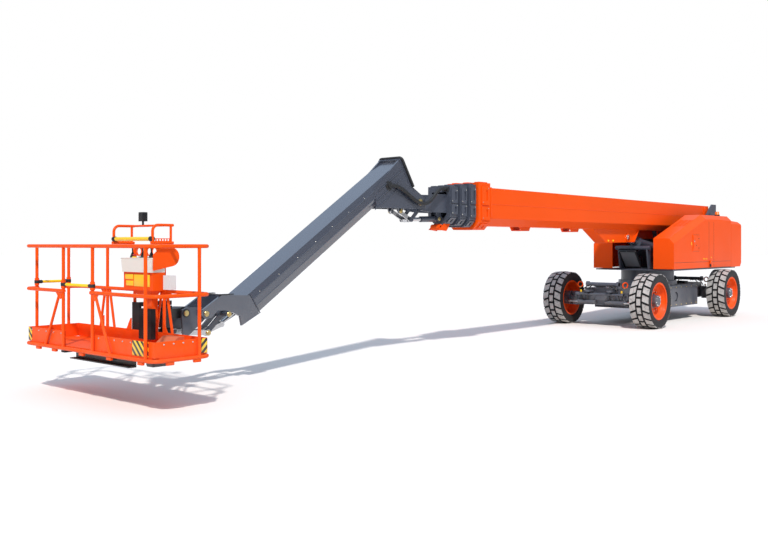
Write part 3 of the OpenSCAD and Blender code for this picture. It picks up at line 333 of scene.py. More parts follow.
def paint(node, material):
    """Gives a whole solid one finish."""
    slots = nodes[node].data.materials
    slots.clear()
    slots.append(material)


for sub in frame["record"]["subparts"]:
    paint(sub["node"], FINISH[sub["material_slot"]])
for node in ("tyre_rl", "tyre_rr"):
    paint(node, rear_rubber)
paint("jib_arm", enamel("jib_enamel", JIB_SLATE, gloss=0.24, coat=0.8, worn=(0.10, 0.108, 0.13), scuffs=0.12,
                        dirt=0.3, shine=0.9))

# %% [markdown]
# ## Surfaces from arrays
# The fittings are made with whole-array arithmetic. A shape is either a profile carried along a path or a
# profile turned round an axis; both give a grid of points, and a grid turns into faces in one step.
# Parts that repeat, such as bolts, are one small mesh copied to many places by broadcasting.

# %% Grid to mesh
SHARP = math.radians(35.0)


def unit(vector):
    """The vector, or each row of an array of vectors, scaled to length one."""
    vector = np.asarray(vector, float)
    return vector / np.linalg.norm(vector, axis=-1, keepdims=True)


def grid_faces(rows, columns, wrap_rows=False, wrap_columns=False):
    """Quads between neighbouring points of a grid; wrapping joins the last row or column to the first."""
    i, j = np.meshgrid(np.arange(rows if wrap_rows else rows - 1),
                       np.arange(columns if wrap_columns else columns - 1), indexing="ij")
    down, right = (i + 1) % rows, (j + 1) % columns
    quads = np.stack([i * columns + j, down * columns + j, down * columns + right, i * columns + right], -1)
    return quads.reshape(-1, 4).tolist()


def orient(points, faces):
    """Turns every face over if the signed volume that the faces enclose is negative."""
    flat_points = np.asarray(points, float).reshape(-1, 3)
    fan = np.array([(f[0], f[k], f[k + 1]) for f in faces for k in range(1, len(f) - 1)])
    a, b, c = (flat_points[fan[:, k]] for k in range(3))
    volume = np.einsum("ij,ij->i", a - flat_points.mean(0), np.cross(b - a, c - a)).sum()
    return flat_points, ([f[::-1] for f in faces] if volume < 0 else faces)


def capped(points):
    """A shell from rows of points that run round it, with a flat face over the first and the last row."""
    rows, count = points.shape[:2]
    ends = np.arange(rows * count).reshape(rows, count)
    faces = grid_faces(rows, count, wrap_columns=True)
    return orient(points, faces + [ends[0].tolist(), ends[-1][::-1].tolist()])


def piece(name, shells, body, slot, finish=None):
    """One mesh from several (points, faces) shells, shaded smooth up to a sharp angle, riding on a body.

    Its finish is the one of its slot, or another that is named.
    """
    points, faces, start = [], [], 0
    for shell_points, shell_faces in shells:
        flat_points = np.asarray(shell_points, float).reshape(-1, 3)
        points.append(flat_points)
        faces += [[int(v) + start for v in face] for face in shell_faces]
        start += len(flat_points)
    mesh = bpy.data.meshes.new(name)
    mesh.from_pydata(np.concatenate(points).tolist(), [], faces)
    mesh.polygons.foreach_set("use_smooth", np.ones(len(faces), bool))
    mesh.set_sharp_from_angle(angle=SHARP)
    mesh.materials.append(finish or FINISH[slot])
    mesh.update()
    obj = bpy.data.objects.new(name, mesh)
    SCENE.collection.objects.link(obj)
    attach(obj, body)
    return obj


# %% Profiles carried along paths
def ring(radius, sides=20):
    """Round profile: points at equal angles on a circle."""
    turn = np.linspace(0, 2 * np.pi, sides, endpoint=False)
    return radius * np.stack([np.cos(turn), np.sin(turn)], -1)


def rounded_box(width, height, radius, steps=4):
    """Rectangular profile whose four corners are arcs, each swept over a quarter turn."""
    turn = np.linspace(0, np.pi / 2, steps)
    arc = radius * np.stack([np.cos(turn), np.sin(turn)], -1)
    w, h = width / 2 - radius, height / 2 - radius
    quarter = [np.array(((c, -s), (s, c))) for c, s in ((1, 0), (0, 1), (-1, 0), (0, -1))]
    corners = np.array(((w, h), (-w, h), (-w, -h), (w, -h)))
    return np.concatenate([arc @ q.T + corner for q, corner in zip(quarter, corners)])


def sweep(profile, path, up=UP):
    """A closed profile carried along a path: at each path point it stands across the path's direction."""
    path = np.asarray(path, float)
    forward = unit(np.gradient(path, axis=0))
    side = unit(np.cross(forward, up))
    rise = np.cross(side, forward)
    points = path[:, None, :] + profile[None, :, :1] * side[:, None, :] + profile[None, :, 1:] * rise[:, None, :]
    return capped(points)


def smooth_path(points, count=48):
    """A smooth curve through the points: cubic Hermite pieces with slopes from the neighbours."""
    points = np.asarray(points, float)
    slope = np.gradient(points, axis=0)
    place = np.linspace(0, len(points) - 1, count)
    k = np.minimum(place.astype(int), len(points) - 2)
    t = (place - k)[:, None]
    return ((2 * t**3 - 3 * t**2 + 1) * points[k] + (t**3 - 2 * t**2 + t) * slope[k]
            + (-2 * t**3 + 3 * t**2) * points[k + 1] + (t**3 - t**2) * slope[k + 1])


def tube(path, radius, sides=16, up=UP):
    """A round bar along a path."""
    return sweep(ring(radius, sides), path, up)


def slab(corner, opposite, radius=0.004):
    """A box between two corners whose edges are eased: a rounded rectangle that shrinks at both ends."""
    low, high = np.minimum(corner, opposite), np.maximum(corner, opposite)
    size, middle = high - low, (low + high) / 2
    radius = min(radius, 0.45 * size.min())
    rise = np.array((0.0, radius * 0.3, radius, size[2] - radius, size[2] - radius * 0.3, size[2]))
    inset = np.array((radius, radius * 0.3, 0.0, 0.0, radius * 0.3, radius))
    rings = [rounded_box(size[0] - 2 * i, size[1] - 2 * i, max(radius * 1.2 - i, radius * 0.2)) for i in inset]
    points = np.stack([np.column_stack([r, np.full(len(r), z)]) for r, z in zip(rings, rise)])
    return capped(points + (middle[0], middle[1], low[2]))


# %% Profiles turned round an axis, and plates
CORE = 0.0001


def spokes(axis, count, start=0.0):
    """An axis with length one, and directions at equal angles round it."""
    axis = unit(axis)
    first = unit(np.cross(axis, (0.3, 0.5, 0.9) if abs(axis[2]) > 0.8 else UP))
    turn = start + np.linspace(0, 2 * np.pi, count, endpoint=False)
    return axis, np.cos(turn)[:, None] * first + np.sin(turn)[:, None] * np.cross(axis, first)


def turned(profile, centre, axis, sides):
    """Points of a profile of (radius, height) pairs, turned round an axis."""
    axis, spoke = spokes(axis, sides)
    profile = np.asarray(profile, float)
    return np.asarray(centre, float) + profile[:, None, 1:] * axis + profile[:, None, :1] * spoke[None]


def lathe(profile, centre, axis, sides=48):
    """A turned profile that starts and ends at the axis; its ends close on very small discs."""
    return capped(turned(profile, centre, axis, sides))


def ring_lathe(section, centre, axis, sides=72):
    """A closed section turned round an axis, like a moulded ring."""
    return orient(turned(section, centre, axis, sides), grid_faces(len(section), sides, True, True))


def stud(radius, shoulder, crown, top, centre, axis, sides=20, foot=0.0):
    """A turned stud: straight from its foot to a shoulder, then in to a smaller flat crown."""
    return lathe(((CORE, foot), (radius, foot), (radius, shoulder), (crown, top), (CORE, top)), centre, axis, sides)


def stood(loops, depths, origin, across, upward):
    """Outlines drawn in one plane, put in space, each at its own depth behind the plane."""
    across, upward, loops = unit(across), unit(upward), np.asarray(loops, float)
    return (np.asarray(origin, float) + loops[..., :1] * across + loops[..., 1:] * upward
            + np.reshape(depths, (-1, 1, 1)) * np.cross(across, upward))


def plate(outline, origin, across, upward, thickness, ease=0.0015):
    """A flat plate: an outline in its own plane, carried through its thickness with eased edges."""
    outline = np.asarray(outline, float)
    middle = outline.mean(0)
    pull = 1 - ease / np.linalg.norm(outline - middle, axis=1, keepdims=True)
    inner = middle + (outline - middle) * pull
    depths = (0.0, ease, thickness - ease, thickness)
    return capped(stood((inner, outline, outline, inner), depths, origin, across, upward))


def holed(edge, hole, origin, across, upward, thickness):
    """A plate between an edge and a hole inside it, two outlines with equally many points."""
    points = stood((hole, edge, edge, hole), (0.0, 0.0, thickness, thickness), origin, across, upward)
    return orient(points, grid_faces(4, len(edge), True, True))


def bolts(centres, axis, radius, height, sides=6):
    """Bolt heads at many places: one hexagon with an eased top, broadcast to every centre."""
    axis, spoke = spokes(axis, sides)
    rings = ((1.0, -0.2), (1.0, 0.75), (0.82, 1.0))
    one, faces = capped(np.stack([r * radius * spoke + h * height * axis for r, h in rings]))
    centres = np.atleast_2d(np.asarray(centres, float))
    points = (centres[:, None, :] + one[None]).reshape(-1, 3)
    step = len(one)
    return points, [[v + k * step for v in face] for k in range(len(centres)) for face in faces]


print("shape helpers ready")

# %% [markdown]
# ## Wheels
# Each wheel is a solid tyre on a deep steel rim with a slate hub bolted through the disc. The rim's dish is
# one ring section turned round the axle, and the nuts are one hexagon copied round a circle.

# %% Rims, hubs and nuts
CORNERS = {"fl": 1, "fr": -1, "rl": 1, "rr": -1}
HUB_R = 0.126


def on_circle(count, radius, centre, axis, start=0.0):
    """Points at equal steps on a circle round an axis."""
    return np.asarray(centre, float) + radius * spokes(axis, count, start)[1]


dish = ((0.386, 0.176), (0.400, 0.182), (0.404, 0.190), (0.398, 0.197), (0.386, 0.196), (0.370, 0.184),
        (0.352, 0.150), (0.345, 0.112), (0.330, 0.088), (0.290, 0.066), (0.246, 0.060), (0.240, 0.052),
        (0.300, 0.050), (0.362, 0.090), (0.372, 0.150))
hub_profile = ((CORE, 0.050), (0.158, 0.050), (0.160, 0.064), (0.148, 0.070), (HUB_R, 0.074), (HUB_R, 0.160),
               (HUB_R - 0.010, 0.174), (0.078, 0.178), (0.072, 0.186), (CORE, 0.187))
for corner, side in CORNERS.items():
    low, high = np.array(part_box("rim_" + corner))
    centre, outward = (low + high) / 2, np.array((0.0, side, 0.0))
    body = "wheel_" + corner
    piece("rim_dish_" + corner, [ring_lathe(dish, centre, outward)], body, "orange_paint")
    nuts = on_circle(12, 0.205, centre + 0.060 * outward, outward)
    cap_bolts = on_circle(8, 0.100, centre + 0.177 * outward, outward, 0.2)
    piece("hub_" + corner, [lathe(hub_profile, centre, outward)], body, "grey_paint")
    piece("wheel_nuts_" + corner, [bolts(nuts, outward, 0.017, 0.022), bolts(cap_bolts, outward, 0.010, 0.010)],
          body, "bright_steel")
print("wheels dressed:", list(CORNERS))

# %% [markdown]
# ## Platform
# The basket is welded tube with sheet toe boards. What makes it read as real are the painted stripes at its
# corners, the gussets, the black sleeves of the slide-up bars and the fittings round the control box.
# The stripes are one slanted ramp of the coordinates cut into bands, so they need no picture.

# %% Platform values
rail_low, rail_high = np.array(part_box("platform_rails"))
FRONT, BACK, HALF = rail_high[0], rail_low[0], rail_high[1]
RAIL_R = 0.021
RAIL_TOP, RAIL_MID = rail_high[2] - RAIL_R, 1.232
FLOOR_Z = 0.600
TOE_H = 0.165
TOE_FACE = 0.049
print("platform", round(FRONT - BACK, 3), "by", round(2 * HALF, 3))


# %% Finishes that change with place
def recolour(material, color):
    """Feeds a colour into a finish, ahead of its scuffs, in place of the plain one."""
    tree = material.node_tree
    rub = next(n for n in tree.nodes if n.type == "GROUP" and n.node_tree == scuff)
    tree.links.new(color, rub.inputs["Color"])
    return material


def striped(name, first, second, pitch):
    """Slanted bands: the fraction of (x + y + z) / pitch, cut at one half, picks one of two colours."""
    material = enamel(name, first, gloss=0.4, scuffs=0.2)
    tree = material.node_tree
    place, x, y, z = coordinates(tree)
    turns = op(tree, "DIVIDE", op(tree, "ADD", op(tree, "ADD", x, y), z), pitch)
    band = op(tree, "GREATER_THAN", op(tree, "FRACT", turns), 0.5)
    return recolour(material, mix(tree, band, (*first, 1), (*second, 1)))


FAR = 99.0


def zoned(name, base, zones, gloss=0.36):
    """A base colour with boxes of other colours; a box holds where each coordinate is near its middle."""
    material = enamel(name, base, gloss=gloss, coat=0.04, worn=[0.85 * c for c in base], dirt=0.12, shine=0.1)
    tree = material.node_tree
    place, *axes = coordinates(tree)
    tint = (*base, 1)
    for color, low, high in zones:
        x, y, z = (op(tree, "COMPARE", at, (a + b) / 2, (b - a) / 2) for at, a, b in zip(axes, low, high))
        tint = mix(tree, op(tree, "MULTIPLY", op(tree, "MULTIPLY", x, y), z), tint, (*color, 1))
    return recolour(material, tint)


BLACK = (0.012, 0.012, 0.014)
YELLOW = (0.95, 0.62, 0.02)
hazard_stripes = striped("hazard_stripes", YELLOW, BLACK, 0.085)
BRICK, PALE = (0.62, 0.16, 0.07), (0.70, 0.70, 0.68)
paint("platform_floor", zoned("platform_floor_paint", ORANGE, [
    (BLACK, (-FAR, -FAR, -FAR), (BACK - 0.002, FAR, FAR)), (BLACK, (-FAR, -FAR, -FAR), (FAR, FAR, 0.5695)),
    (BLACK, (-FAR, -0.080, 0.766), (BACK + 0.080, 0.080, FAR))]))
paint("platform_fittings", zoned("fittings_paint", BLACK, [
    (BRICK, (-FAR, 0.62, -FAR), (FAR, FAR, 0.9)), (PALE, (-FAR, 0.62, 1.2), (FAR, FAR, FAR))], gloss=0.5))
black_rubber = enamel("black_rubber", (0.014, 0.014, 0.015), gloss=0.62, coat=0.0, worn=(0.05, 0.05, 0.05),
                      peel_scale=160.0, bump=0.08)
red_plastic = enamel("red_plastic", (0.55, 0.02, 0.012), gloss=0.35)
pale_plastic = enamel("pale_plastic", (0.72, 0.72, 0.70), gloss=0.45, coat=0.0)
print("finishes:", len(bpy.data.materials))

# %% Stripe plates at the corners
STRIPE_LOW, STRIPE_HIGH, STRIPE_T = FLOOR_Z + 0.006, FLOOR_Z + TOE_H - 0.004, 0.004
toe_x, toe_y = FRONT - TOE_FACE, HALF - TOE_FACE
shells = [slab((toe_x, y0, STRIPE_LOW), (toe_x + STRIPE_T, y1, STRIPE_HIGH), 0.001)
          for y0, y1 in ((0.930, 1.225), (-toe_y + 0.005, -toe_y + 0.085))]
shells += [slab((BACK + 0.054, s * toe_y, STRIPE_LOW), (BACK + 0.150, s * toe_y + s * STRIPE_T, STRIPE_HIGH), 0.001)
           for s in (1, -1)]
piece("stripe_plates", shells, "platform", "yellow_paint", hazard_stripes)

# %% Sleeves of the slide-up bars
GATE_END, SLEEVE_IN = 0.056, 0.027
sleeve = ((0.0265, -0.017), (0.0285, -0.019), (0.0300, -0.014), (0.0300, 0.014), (0.0285, 0.019), (0.0265, 0.017))
for gate, axis in (("gate_front", 1), ("gate_side", 0)):
    node = gate.replace("gate", "gate_bar")
    low, high = np.array(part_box(node))
    middle, along = (low + high) / 2, np.eye(3)[axis]
    near, far = low + GATE_END * along, high - GATE_END * along
    limit = FAR * (1 - along)
    paint(node, zoned(node + "_paint", YELLOW, [(ORANGE, low * along - limit - along, near * along + limit),
                                                (ORANGE, far * along - limit, high * along + limit + along)]))
    shells = []
    for end, inward in ((low, 1), (high, -1)):
        at = middle * (1 - along) + (end + SLEEVE_IN * inward) * along
        shells.append(ring_lathe(sleeve, at, UP, 32))
        shells.append(stud(0.0215, 0.036, 0.0195, 0.042, at + 0.026 * inward * along, inward * along, 24))
    piece(gate + "_sleeves", shells, gate, "black_paint", black_rubber)

# %% Gussets, tabs and rivets
LOW_Z, RIVET_Z = 0.569, FLOOR_Z + 0.135
gusset = ((0.0, 0.0), (0.110, 0.0), (0.096, 0.016), (0.018, 0.140), (0.0, 0.140))
hanging = ((0.0, 0.0), (0.130, 0.0), (0.120, -0.020), (0.052, -0.078), (0.020, -0.086), (0.0, -0.070))
toe_top = FLOOR_Z + TOE_H - 0.010
shells = [plate(gusset, (BACK + 0.052, y, toe_top), (0, s, 0), UP, 0.006 * s)
          for y, s in ((-0.718, -1), (-0.100 - 0.018, -1), (0.518, 1))]
for x, spots in ((FRONT - 0.018, ((-0.478, -1), (0.193, 1))), (BACK + 0.018, ((-0.718, -1), (0.518, 1)))):
    shells += [plate(hanging, (x, y, RAIL_MID - 0.010), (0, s, 0), UP, 0.006 * s) for y, s in spots]
shells += [slab((FRONT - 0.046, y - 0.045, LOW_Z - 0.052), (FRONT - 0.010, y + 0.045, LOW_Z - 0.012), 0.006)
           for y in (-1.04, -0.66, -0.05, 0.52, 1.12)]
shells += [slab((x - 0.045, HALF - 0.046, LOW_Z - 0.052), (x + 0.045, HALF - 0.010, LOW_Z - 0.012), 0.006)
           for x in (BACK + 0.20, FRONT - 0.22)]
piece("gussets", shells, "platform", "orange_paint")
front_y = np.concatenate([np.linspace(-1.25, -0.55, 5), np.linspace(0.27, 0.90, 5)])
side_x = np.linspace(BACK + 0.24, FRONT - 0.16, 4)
rivets = [bolts([(toe_x, y, RIVET_Z) for y in front_y], AHEAD, 0.009, 0.006),
          bolts([(x, toe_y, RIVET_Z) for x in side_x], LEFT, 0.009, 0.006)]
piece("toe_rivets", rivets, "platform", "bright_steel")

# %% Channel under the floor
channel = np.array(((-0.045, -0.065), (0.045, -0.065), (0.045, -0.053), (-0.033, -0.053), (-0.033, 0.053),
                    (0.045, 0.053), (0.045, 0.065), (-0.045, 0.065)))
under = [sweep(channel, np.array([(FRONT - 0.175, y, 0.504) for y in np.linspace(-0.50, 0.74, 3)]))]
under += [slab((FRONT - 0.44, 0.86, 0.468), (FRONT - 0.26, 1.06, 0.569), 0.006),
          slab((FRONT - 0.34, 1.08, 0.490), (FRONT - 0.12, 1.20, 0.569), 0.006)]
piece("floor_channel", under, "platform", "black_paint")
print("platform dressed")

# %% [markdown]
# ## Control box and guard
# The operator stands behind a pale control box with rubber-booted levers. A yellow bar across the hoops in
# front of it stops the machine when somebody is pushed against it. Boots are bellows: a wavy profile turned
# round the lever.

# %% Levers and switches
box_low, box_high = np.array(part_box("control_box"))
BOX_TOP = box_high[2] - 0.042
lever_x = box_low[0] + 0.095
boot = [(CORE, 0.0), (0.036, 0.0)]
boot += [(0.033 - 0.0035 * k + (0.004 if k % 2 else 0.0), 0.004 + 0.0085 * k) for k in range(7)]
boot += [(0.008, 0.066), (0.0075, 0.112), (0.014, 0.118), (0.017, 0.132), (0.015, 0.150), (CORE, 0.154)]
levers = [(lever_x, y, BOX_TOP) for y in (0.060, 0.270, 0.440)]
piece("lever_boots", [lathe(boot, at, (0.05, 0.0, 1.0), 24) for at in levers], "platform", "black_paint", black_rubber)
stop_at = np.array((lever_x + 0.045, 0.165, BOX_TOP))
piece("stop_collar", [stud(0.026, 0.010, 0.022, 0.013, stop_at, UP, 28)], "platform", "yellow_paint")
button = ((CORE, 0.012), (0.009, 0.012), (0.009, 0.026), (0.021, 0.028), (0.021, 0.036), (0.014, 0.042), (CORE, 0.043))
piece("stop_button", [lathe(button, stop_at, UP, 28)], "platform", "orange_paint", red_plastic)
switch_y = np.linspace(box_low[1] + 0.10, box_high[1] - 0.08, 9)
toggle = ((CORE, 0.0), (0.009, 0.0), (0.009, 0.006), (0.004, 0.008), (0.003, 0.024), (CORE, 0.025))
switches = [lathe(toggle, (lever_x - 0.06, y, BOX_TOP), (0.2, 0.0, 1.0), 12) for y in switch_y]
piece("switches", switches, "platform", "black_paint", black_rubber)
LIP = 0.004
lip = slab((box_low[0] - LIP, box_low[1] - LIP, BOX_TOP - 0.012), (box_high[0] + LIP, box_high[1] + LIP, BOX_TOP), LIP)
piece("control_box_lid", [lip], "platform", "beige_plastic")
print("levers:", len(levers), "switches:", len(switch_y))

# %% Blank plates on the console
console_x = np.array(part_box("console"))[0][0]
plates = [slab((console_x + 0.157, y0, z0), (console_x + 0.162, y1, z1), 0.0012)
          for y0, y1, z0, z1 in ((0.005, 0.165, 1.366, 1.424), (0.025, 0.170, 1.292, 1.350),
                                 (0.185, 0.500, 1.288, 1.424))]
piece("blank_plates", plates, "platform", "yellow_paint")

# %% Bar and perforated plate of the guard
guard_low, guard_high = np.array(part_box("upper_guard"))
GUARD_R = 0.016
bar_x, bar_z = guard_high[0] - 0.022, 1.830
bar_y = (guard_low[1] + GUARD_R, guard_high[1] - GUARD_R)
bar = tube([(bar_x, y, bar_z) for y in np.linspace(bar_y[0] + 0.02, bar_y[1] - 0.02, 3)], 0.023, 20)
piece("stop_bar", [bar], "platform", "yellow_paint")
bar_end = ((CORE, -0.004), (0.027, -0.004), (0.029, 0.0), (0.029, 0.046), (0.026, 0.052), (CORE, 0.052))
end_sleeves = [lathe(bar_end, (bar_x, y, bar_z), (0, d, 0), 24)
               for y, d in ((bar_y[0] - 0.005, 1), (bar_y[1] + 0.005, -1))]
piece("stop_bar_ends", end_sleeves, "platform", "black_paint", black_rubber)


def perforated(origin, across, cell, count, hole, thickness):
    """An upright strip of square cells with round holes: each square is its circle pushed out to the cell."""
    circle = ring(hole, 24)
    square = circle / np.abs(circle).max(1, keepdims=True) * cell / 2
    shifts = [((k + 0.5) * cell, cell / 2) for k in range(count)]
    return [holed(square + shift, circle + shift, origin, across, UP, thickness) for shift in shifts]


hole_plate = []
for y in (guard_high[1] - GUARD_R - 0.003, guard_low[1] + GUARD_R + 0.003):
    hole_plate += perforated((BACK + RAIL_R + 0.012, y, 1.800), AHEAD, 0.036, 6, 0.012, 0.005)
hole_plate += perforated((BACK + RAIL_R - 0.003, -0.060, RAIL_TOP - 0.116), LEFT, 0.105, 6, 0.038, 0.006)
piece("perforated_plates", hole_plate, "platform", "orange_paint")

# %% Side sheet that ties the control box to the rail
SHEET_R, sheet_x = 0.108, box_high[0] - 0.01
turn = np.radians(np.linspace(100, 255, 16))
round_end = np.array((BACK - 0.020, 1.625)) + SHEET_R * np.stack([np.cos(turn), np.sin(turn)], -1)
sheet = np.concatenate([((sheet_x, 1.470), (sheet_x, 1.650), (BACK + 0.130, RAIL_TOP - 0.014)), round_end])
sheet = plate(sheet, (0.0, box_high[1] + 0.0055, 0.0), AHEAD, UP, 0.006)
piece("side_sheet", [sheet], "platform", "orange_paint")

# %% Work lamp
lamp_low, lamp_high = np.array(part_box("work_light"))
fins = [slab((lamp_high[0] - 0.012 - 0.010 * k, lamp_low[1] - 0.003, lamp_low[2] + 0.045),
             (lamp_high[0] - 0.008 - 0.010 * k, lamp_high[1] + 0.003, lamp_high[2] + 0.003), 0.001)
        for k in range(6)]
piece("lamp_fins", fins, "platform", "black_paint")
lens = slab((lamp_low[0] - 0.003, lamp_low[1] + 0.008, lamp_low[2] + 0.050),
            (lamp_low[0] + 0.002, lamp_high[1] - 0.008, lamp_high[2] - 0.008), 0.002)
piece("lamp_lens", [lens], "platform", "black_paint", pale_plastic)
print("guard and lamp dressed")

# %% [markdown]
# ## Boom and jib joint
# The boom's sections end in bolted collars, and a thick sleeve of hoses hangs across the joint to the jib.
# The sleeve is a free hose: its route is chosen from the photograph, and it has one real length.

# %% Hose sleeve
HOSE_D, HOSE_SIDES, HOSE_STEPS = 0.058, 24, 120
hose_route = np.array((
    (2.470, 0.150, 2.690), (2.560, 0.205, 2.697), (2.680, 0.243, 2.690), (2.790, 0.252, 2.652), (2.880, 0.255, 2.585),
    (2.960, 0.256, 2.510), (3.050, 0.257, 2.450), (3.160, 0.258, 2.418), (3.280, 0.258, 2.422), (3.400, 0.258, 2.460),
    (3.520, 0.258, 2.520), (3.640, 0.258, 2.582), (3.750, 0.258, 2.632), (3.850, 0.254, 2.660), (3.940, 0.238, 2.668),
    (4.010, 0.200, 2.664)))
hose_path = smooth_path(hose_route, HOSE_STEPS)
hose_length = float(np.linalg.norm(np.diff(hose_path, axis=0), axis=1).sum())


def hose_finish():
    """Woven sleeve: a slanting wave of the hose's own length and turn coordinates, kept in a UV map."""
    material = enamel("hose_sleeve", (0.013, 0.013, 0.014), gloss=0.6, coat=0.0, worn=(0.06, 0.06, 0.06), scuffs=0.3)
    tree = material.node_tree
    strands = wire(tree, "Mapping", Vector=wire(tree, "UVMap").outputs[0], Scale=(150.0, 6.0, 1.0))
    weave = wire(tree, "TexWave", {"wave_type": "BANDS", "bands_direction": "DIAGONAL"}, Vector=strands.outputs[0],
                 Scale=1.0, Distortion=0.4)
    relief = wire(tree, "Bump", Height=weave.outputs["Fac"], Strength=0.35, Distance=0.002)
    join(tree, tree.nodes["Principled BSDF"], Normal=relief.outputs[0])
    return material


hose_shell = sweep(ring(HOSE_D / 2, HOSE_SIDES), hose_path)
hose = piece("jib_hose", [hose_shell], "boom_fly", "black_paint", hose_finish())
loop_vertex = np.zeros(len(hose.data.loops), int)
hose.data.loops.foreach_get("vertex_index", loop_vertex)
ring_of, side_of = np.divmod(loop_vertex, HOSE_SIDES)
uv = np.stack([ring_of / (HOSE_STEPS - 1) * hose_length, side_of / HOSE_SIDES], -1)
hose.data.uv_layers.new(name="along").data.foreach_set("uv", uv.ravel().astype(np.float32))
hose.parent = None
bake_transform(hose)
print("hose", round(hose_length, 3), "m long")

# %% [markdown]
# ## Collars, ribs and pins
# Each boom section ends in a collar with bolted wear pads. A pad is a plate with a slot: two rounded
# rectangles joined into a frame, so the slot is a real opening with the dark collar behind it. Pins show as
# a shouldered head with a keeper bolt.


# %% Frames and pin heads
def window_plate(outer, inner, shift, origin, across, upward, thickness):
    """A plate with one slot: an outer and an inner rounded rectangle, joined at the front and at the back."""
    slot = rounded_box(*inner, min(inner) * 0.48) + shift
    return holed(rounded_box(*outer, 0.012), slot, origin, across, upward, thickness)


def pin_heads(name, body, x, z, half, radius, finish):
    """Shouldered pin ends on both sides of the machine, each with a keeper bolt beside its middle."""
    head = ((CORE, -0.004), (radius, -0.004), (radius, 0.006), (radius * 0.86, 0.011), (radius * 0.5, 0.011),
            (radius * 0.46, 0.015), (CORE, 0.015))
    shells = [lathe(head, (x, s * half, z), (0, s, 0), 36) for s in (1, -1)]
    shells += [bolts([(x + radius * 0.62, s * (half + 0.010), z)], (0, s, 0), radius * 0.16, 0.007) for s in (1, -1)]
    piece(name, shells, body, "bright_steel", finish)


# %% Wear pads on the collars
dull_steel = enamel("dull_steel", (0.52, 0.50, 0.44), gloss=0.40, coat=0.0, metallic=1.0)
# Body, start and length of its collar, half width, foot and top of its sides, slot.
SECTIONS = (("boom_base", 1.460, 0.280, 0.332, 2.146, 2.826, "orange_paint"),
            ("boom_mid_1", 1.821, 0.190, 0.294, 2.188, 2.784, "grey_paint"),
            ("boom_mid_2", 2.037, 0.190, 0.264, 2.213, 2.759, "grey_paint"),
            ("boom_fly", 2.253, 0.210, 0.234, 2.238, 2.734, "grey_paint"))
BOLT_SPOTS = 0.88 * np.array(((-0.4, -0.42), (0.42, 0.42)))
for body, x0, width, half, side_low, side_high, slot in SECTIONS:
    middle, tall = x0 + width / 2, side_high - side_low
    pads, heads = [], []
    for s in (1, -1):
        for low, share in ((0.06, 0.34), (0.44, 0.48)):
            at = (middle, s * (half - 0.002), side_low + tall * (low + share / 2))
            size = (width * 0.80, tall * share)
            pads.append(window_plate(size, (0.045, size[1] * 0.6), (width * 0.12, 0.0), at, (-s, 0, 0), UP, 0.020))
            spots = [(middle - s * u * size[0], s * (half + 0.016), at[2] + v * size[1]) for u, v in BOLT_SPOTS]
            heads.append(bolts(spots, (0, s, 0), 0.009, 0.006))
        lean, out = unit((0.0, s, 1.0)), unit((0.0, s, -1.0))
        foot = np.array((middle, s * (half - 0.064), side_low - 0.064))
        pads.append(window_plate((width * 0.76, 0.130), (0.040, 0.080), (0.0, 0.0), foot - 0.002 * out, (-s, 0, 0),
                                 lean, 0.018))
        heads += [bolts([foot + (width * u, 0, 0) + 0.014 * out], out, 0.008, 0.006) for u in (-0.32, 0.32)]
    top = side_high - 0.002
    pads += [slab((x0 + 0.02, y - 0.055, top), (x0 + width - 0.02, y + 0.055, top + 0.020), 0.006)
             for y in np.linspace(-half + 0.09, half - 0.09, 3)]
    piece(body + "_pads", pads, body, slot)
    piece(body + "_pad_bolts", heads, body, "bright_steel", dull_steel)
print("collars dressed:", [s[0] for s in SECTIONS])

# %% Ribs of the base section
BOOM_HALF, BOOM_LOW, BOOM_MID = 0.270, 2.090, 2.470
ribs = [tube([(x, s * (BOOM_HALF - 0.001), BOOM_MID) for x in (-8.3, -3.0, 1.44)], 0.006, 8) for s in (1, -1)]
ribs += [slab((1.395, s * 0.300 - 0.034, 2.236), (1.425, s * 0.300 + 0.034, 2.760), 0.004) for s in (1, -1)]
ribs += [slab((1.395, -0.300, 2.750), (1.425, 0.300, 2.812), 0.004)]
lug = ((-0.16, 0.0), (0.10, 0.0), (0.16, 0.075), (-0.20, 0.075))
for x in (0.0, -1.865):
    ribs += [plate(lug, (x, y + 0.012, BOOM_LOW - 0.070), AHEAD, UP, 0.024) for y in (-0.105, 0.105)]
    ribs += [slab((x - 0.15, -0.118, BOOM_LOW - 0.072), (x + 0.09, 0.118, BOOM_LOW - 0.056), 0.004)]
flange = ((-4.760, 2.105), (-4.725, 2.105), (-4.470, 1.830), (-4.505, 1.812))
ribs += [plate(flange, (0, y0, 0), AHEAD, UP, 0.066) for y0 in (0.168, -0.102)]
piece("boom_ribs", ribs, "boom_base", "orange_paint")
plugs = [stud(0.022, 0.012, 0.015, 0.018, (x, s * 0.134, 1.845), (0, s, 0)) for x in (-3.30, -3.52) for s in (1, -1)]
piece("boom_plugs", plugs, "boom_base", "yellow_paint")
pin_heads("lift_pin_heads", "boom_base", -4.217, 1.920, 0.156, 0.060, bright_steel)


# %% Rubber edge of the jib's root plate
def rounded_route(corners, radius, steps=8):
    """A polyline whose inner corners are replaced by short parabolas that start a radius before each corner."""
    corners = np.asarray(corners, float)
    t = np.linspace(0, 1, steps)[:, None]
    route = [corners[:1]]
    for before, here, after in zip(corners[:-2], corners[1:-1], corners[2:]):
        a, b = here + radius * unit(before - here), here + radius * unit(after - here)
        route.append((1 - t) ** 2 * a + 2 * t * (1 - t) * here + t**2 * b)
    return np.concatenate(route + [corners[-1:]])


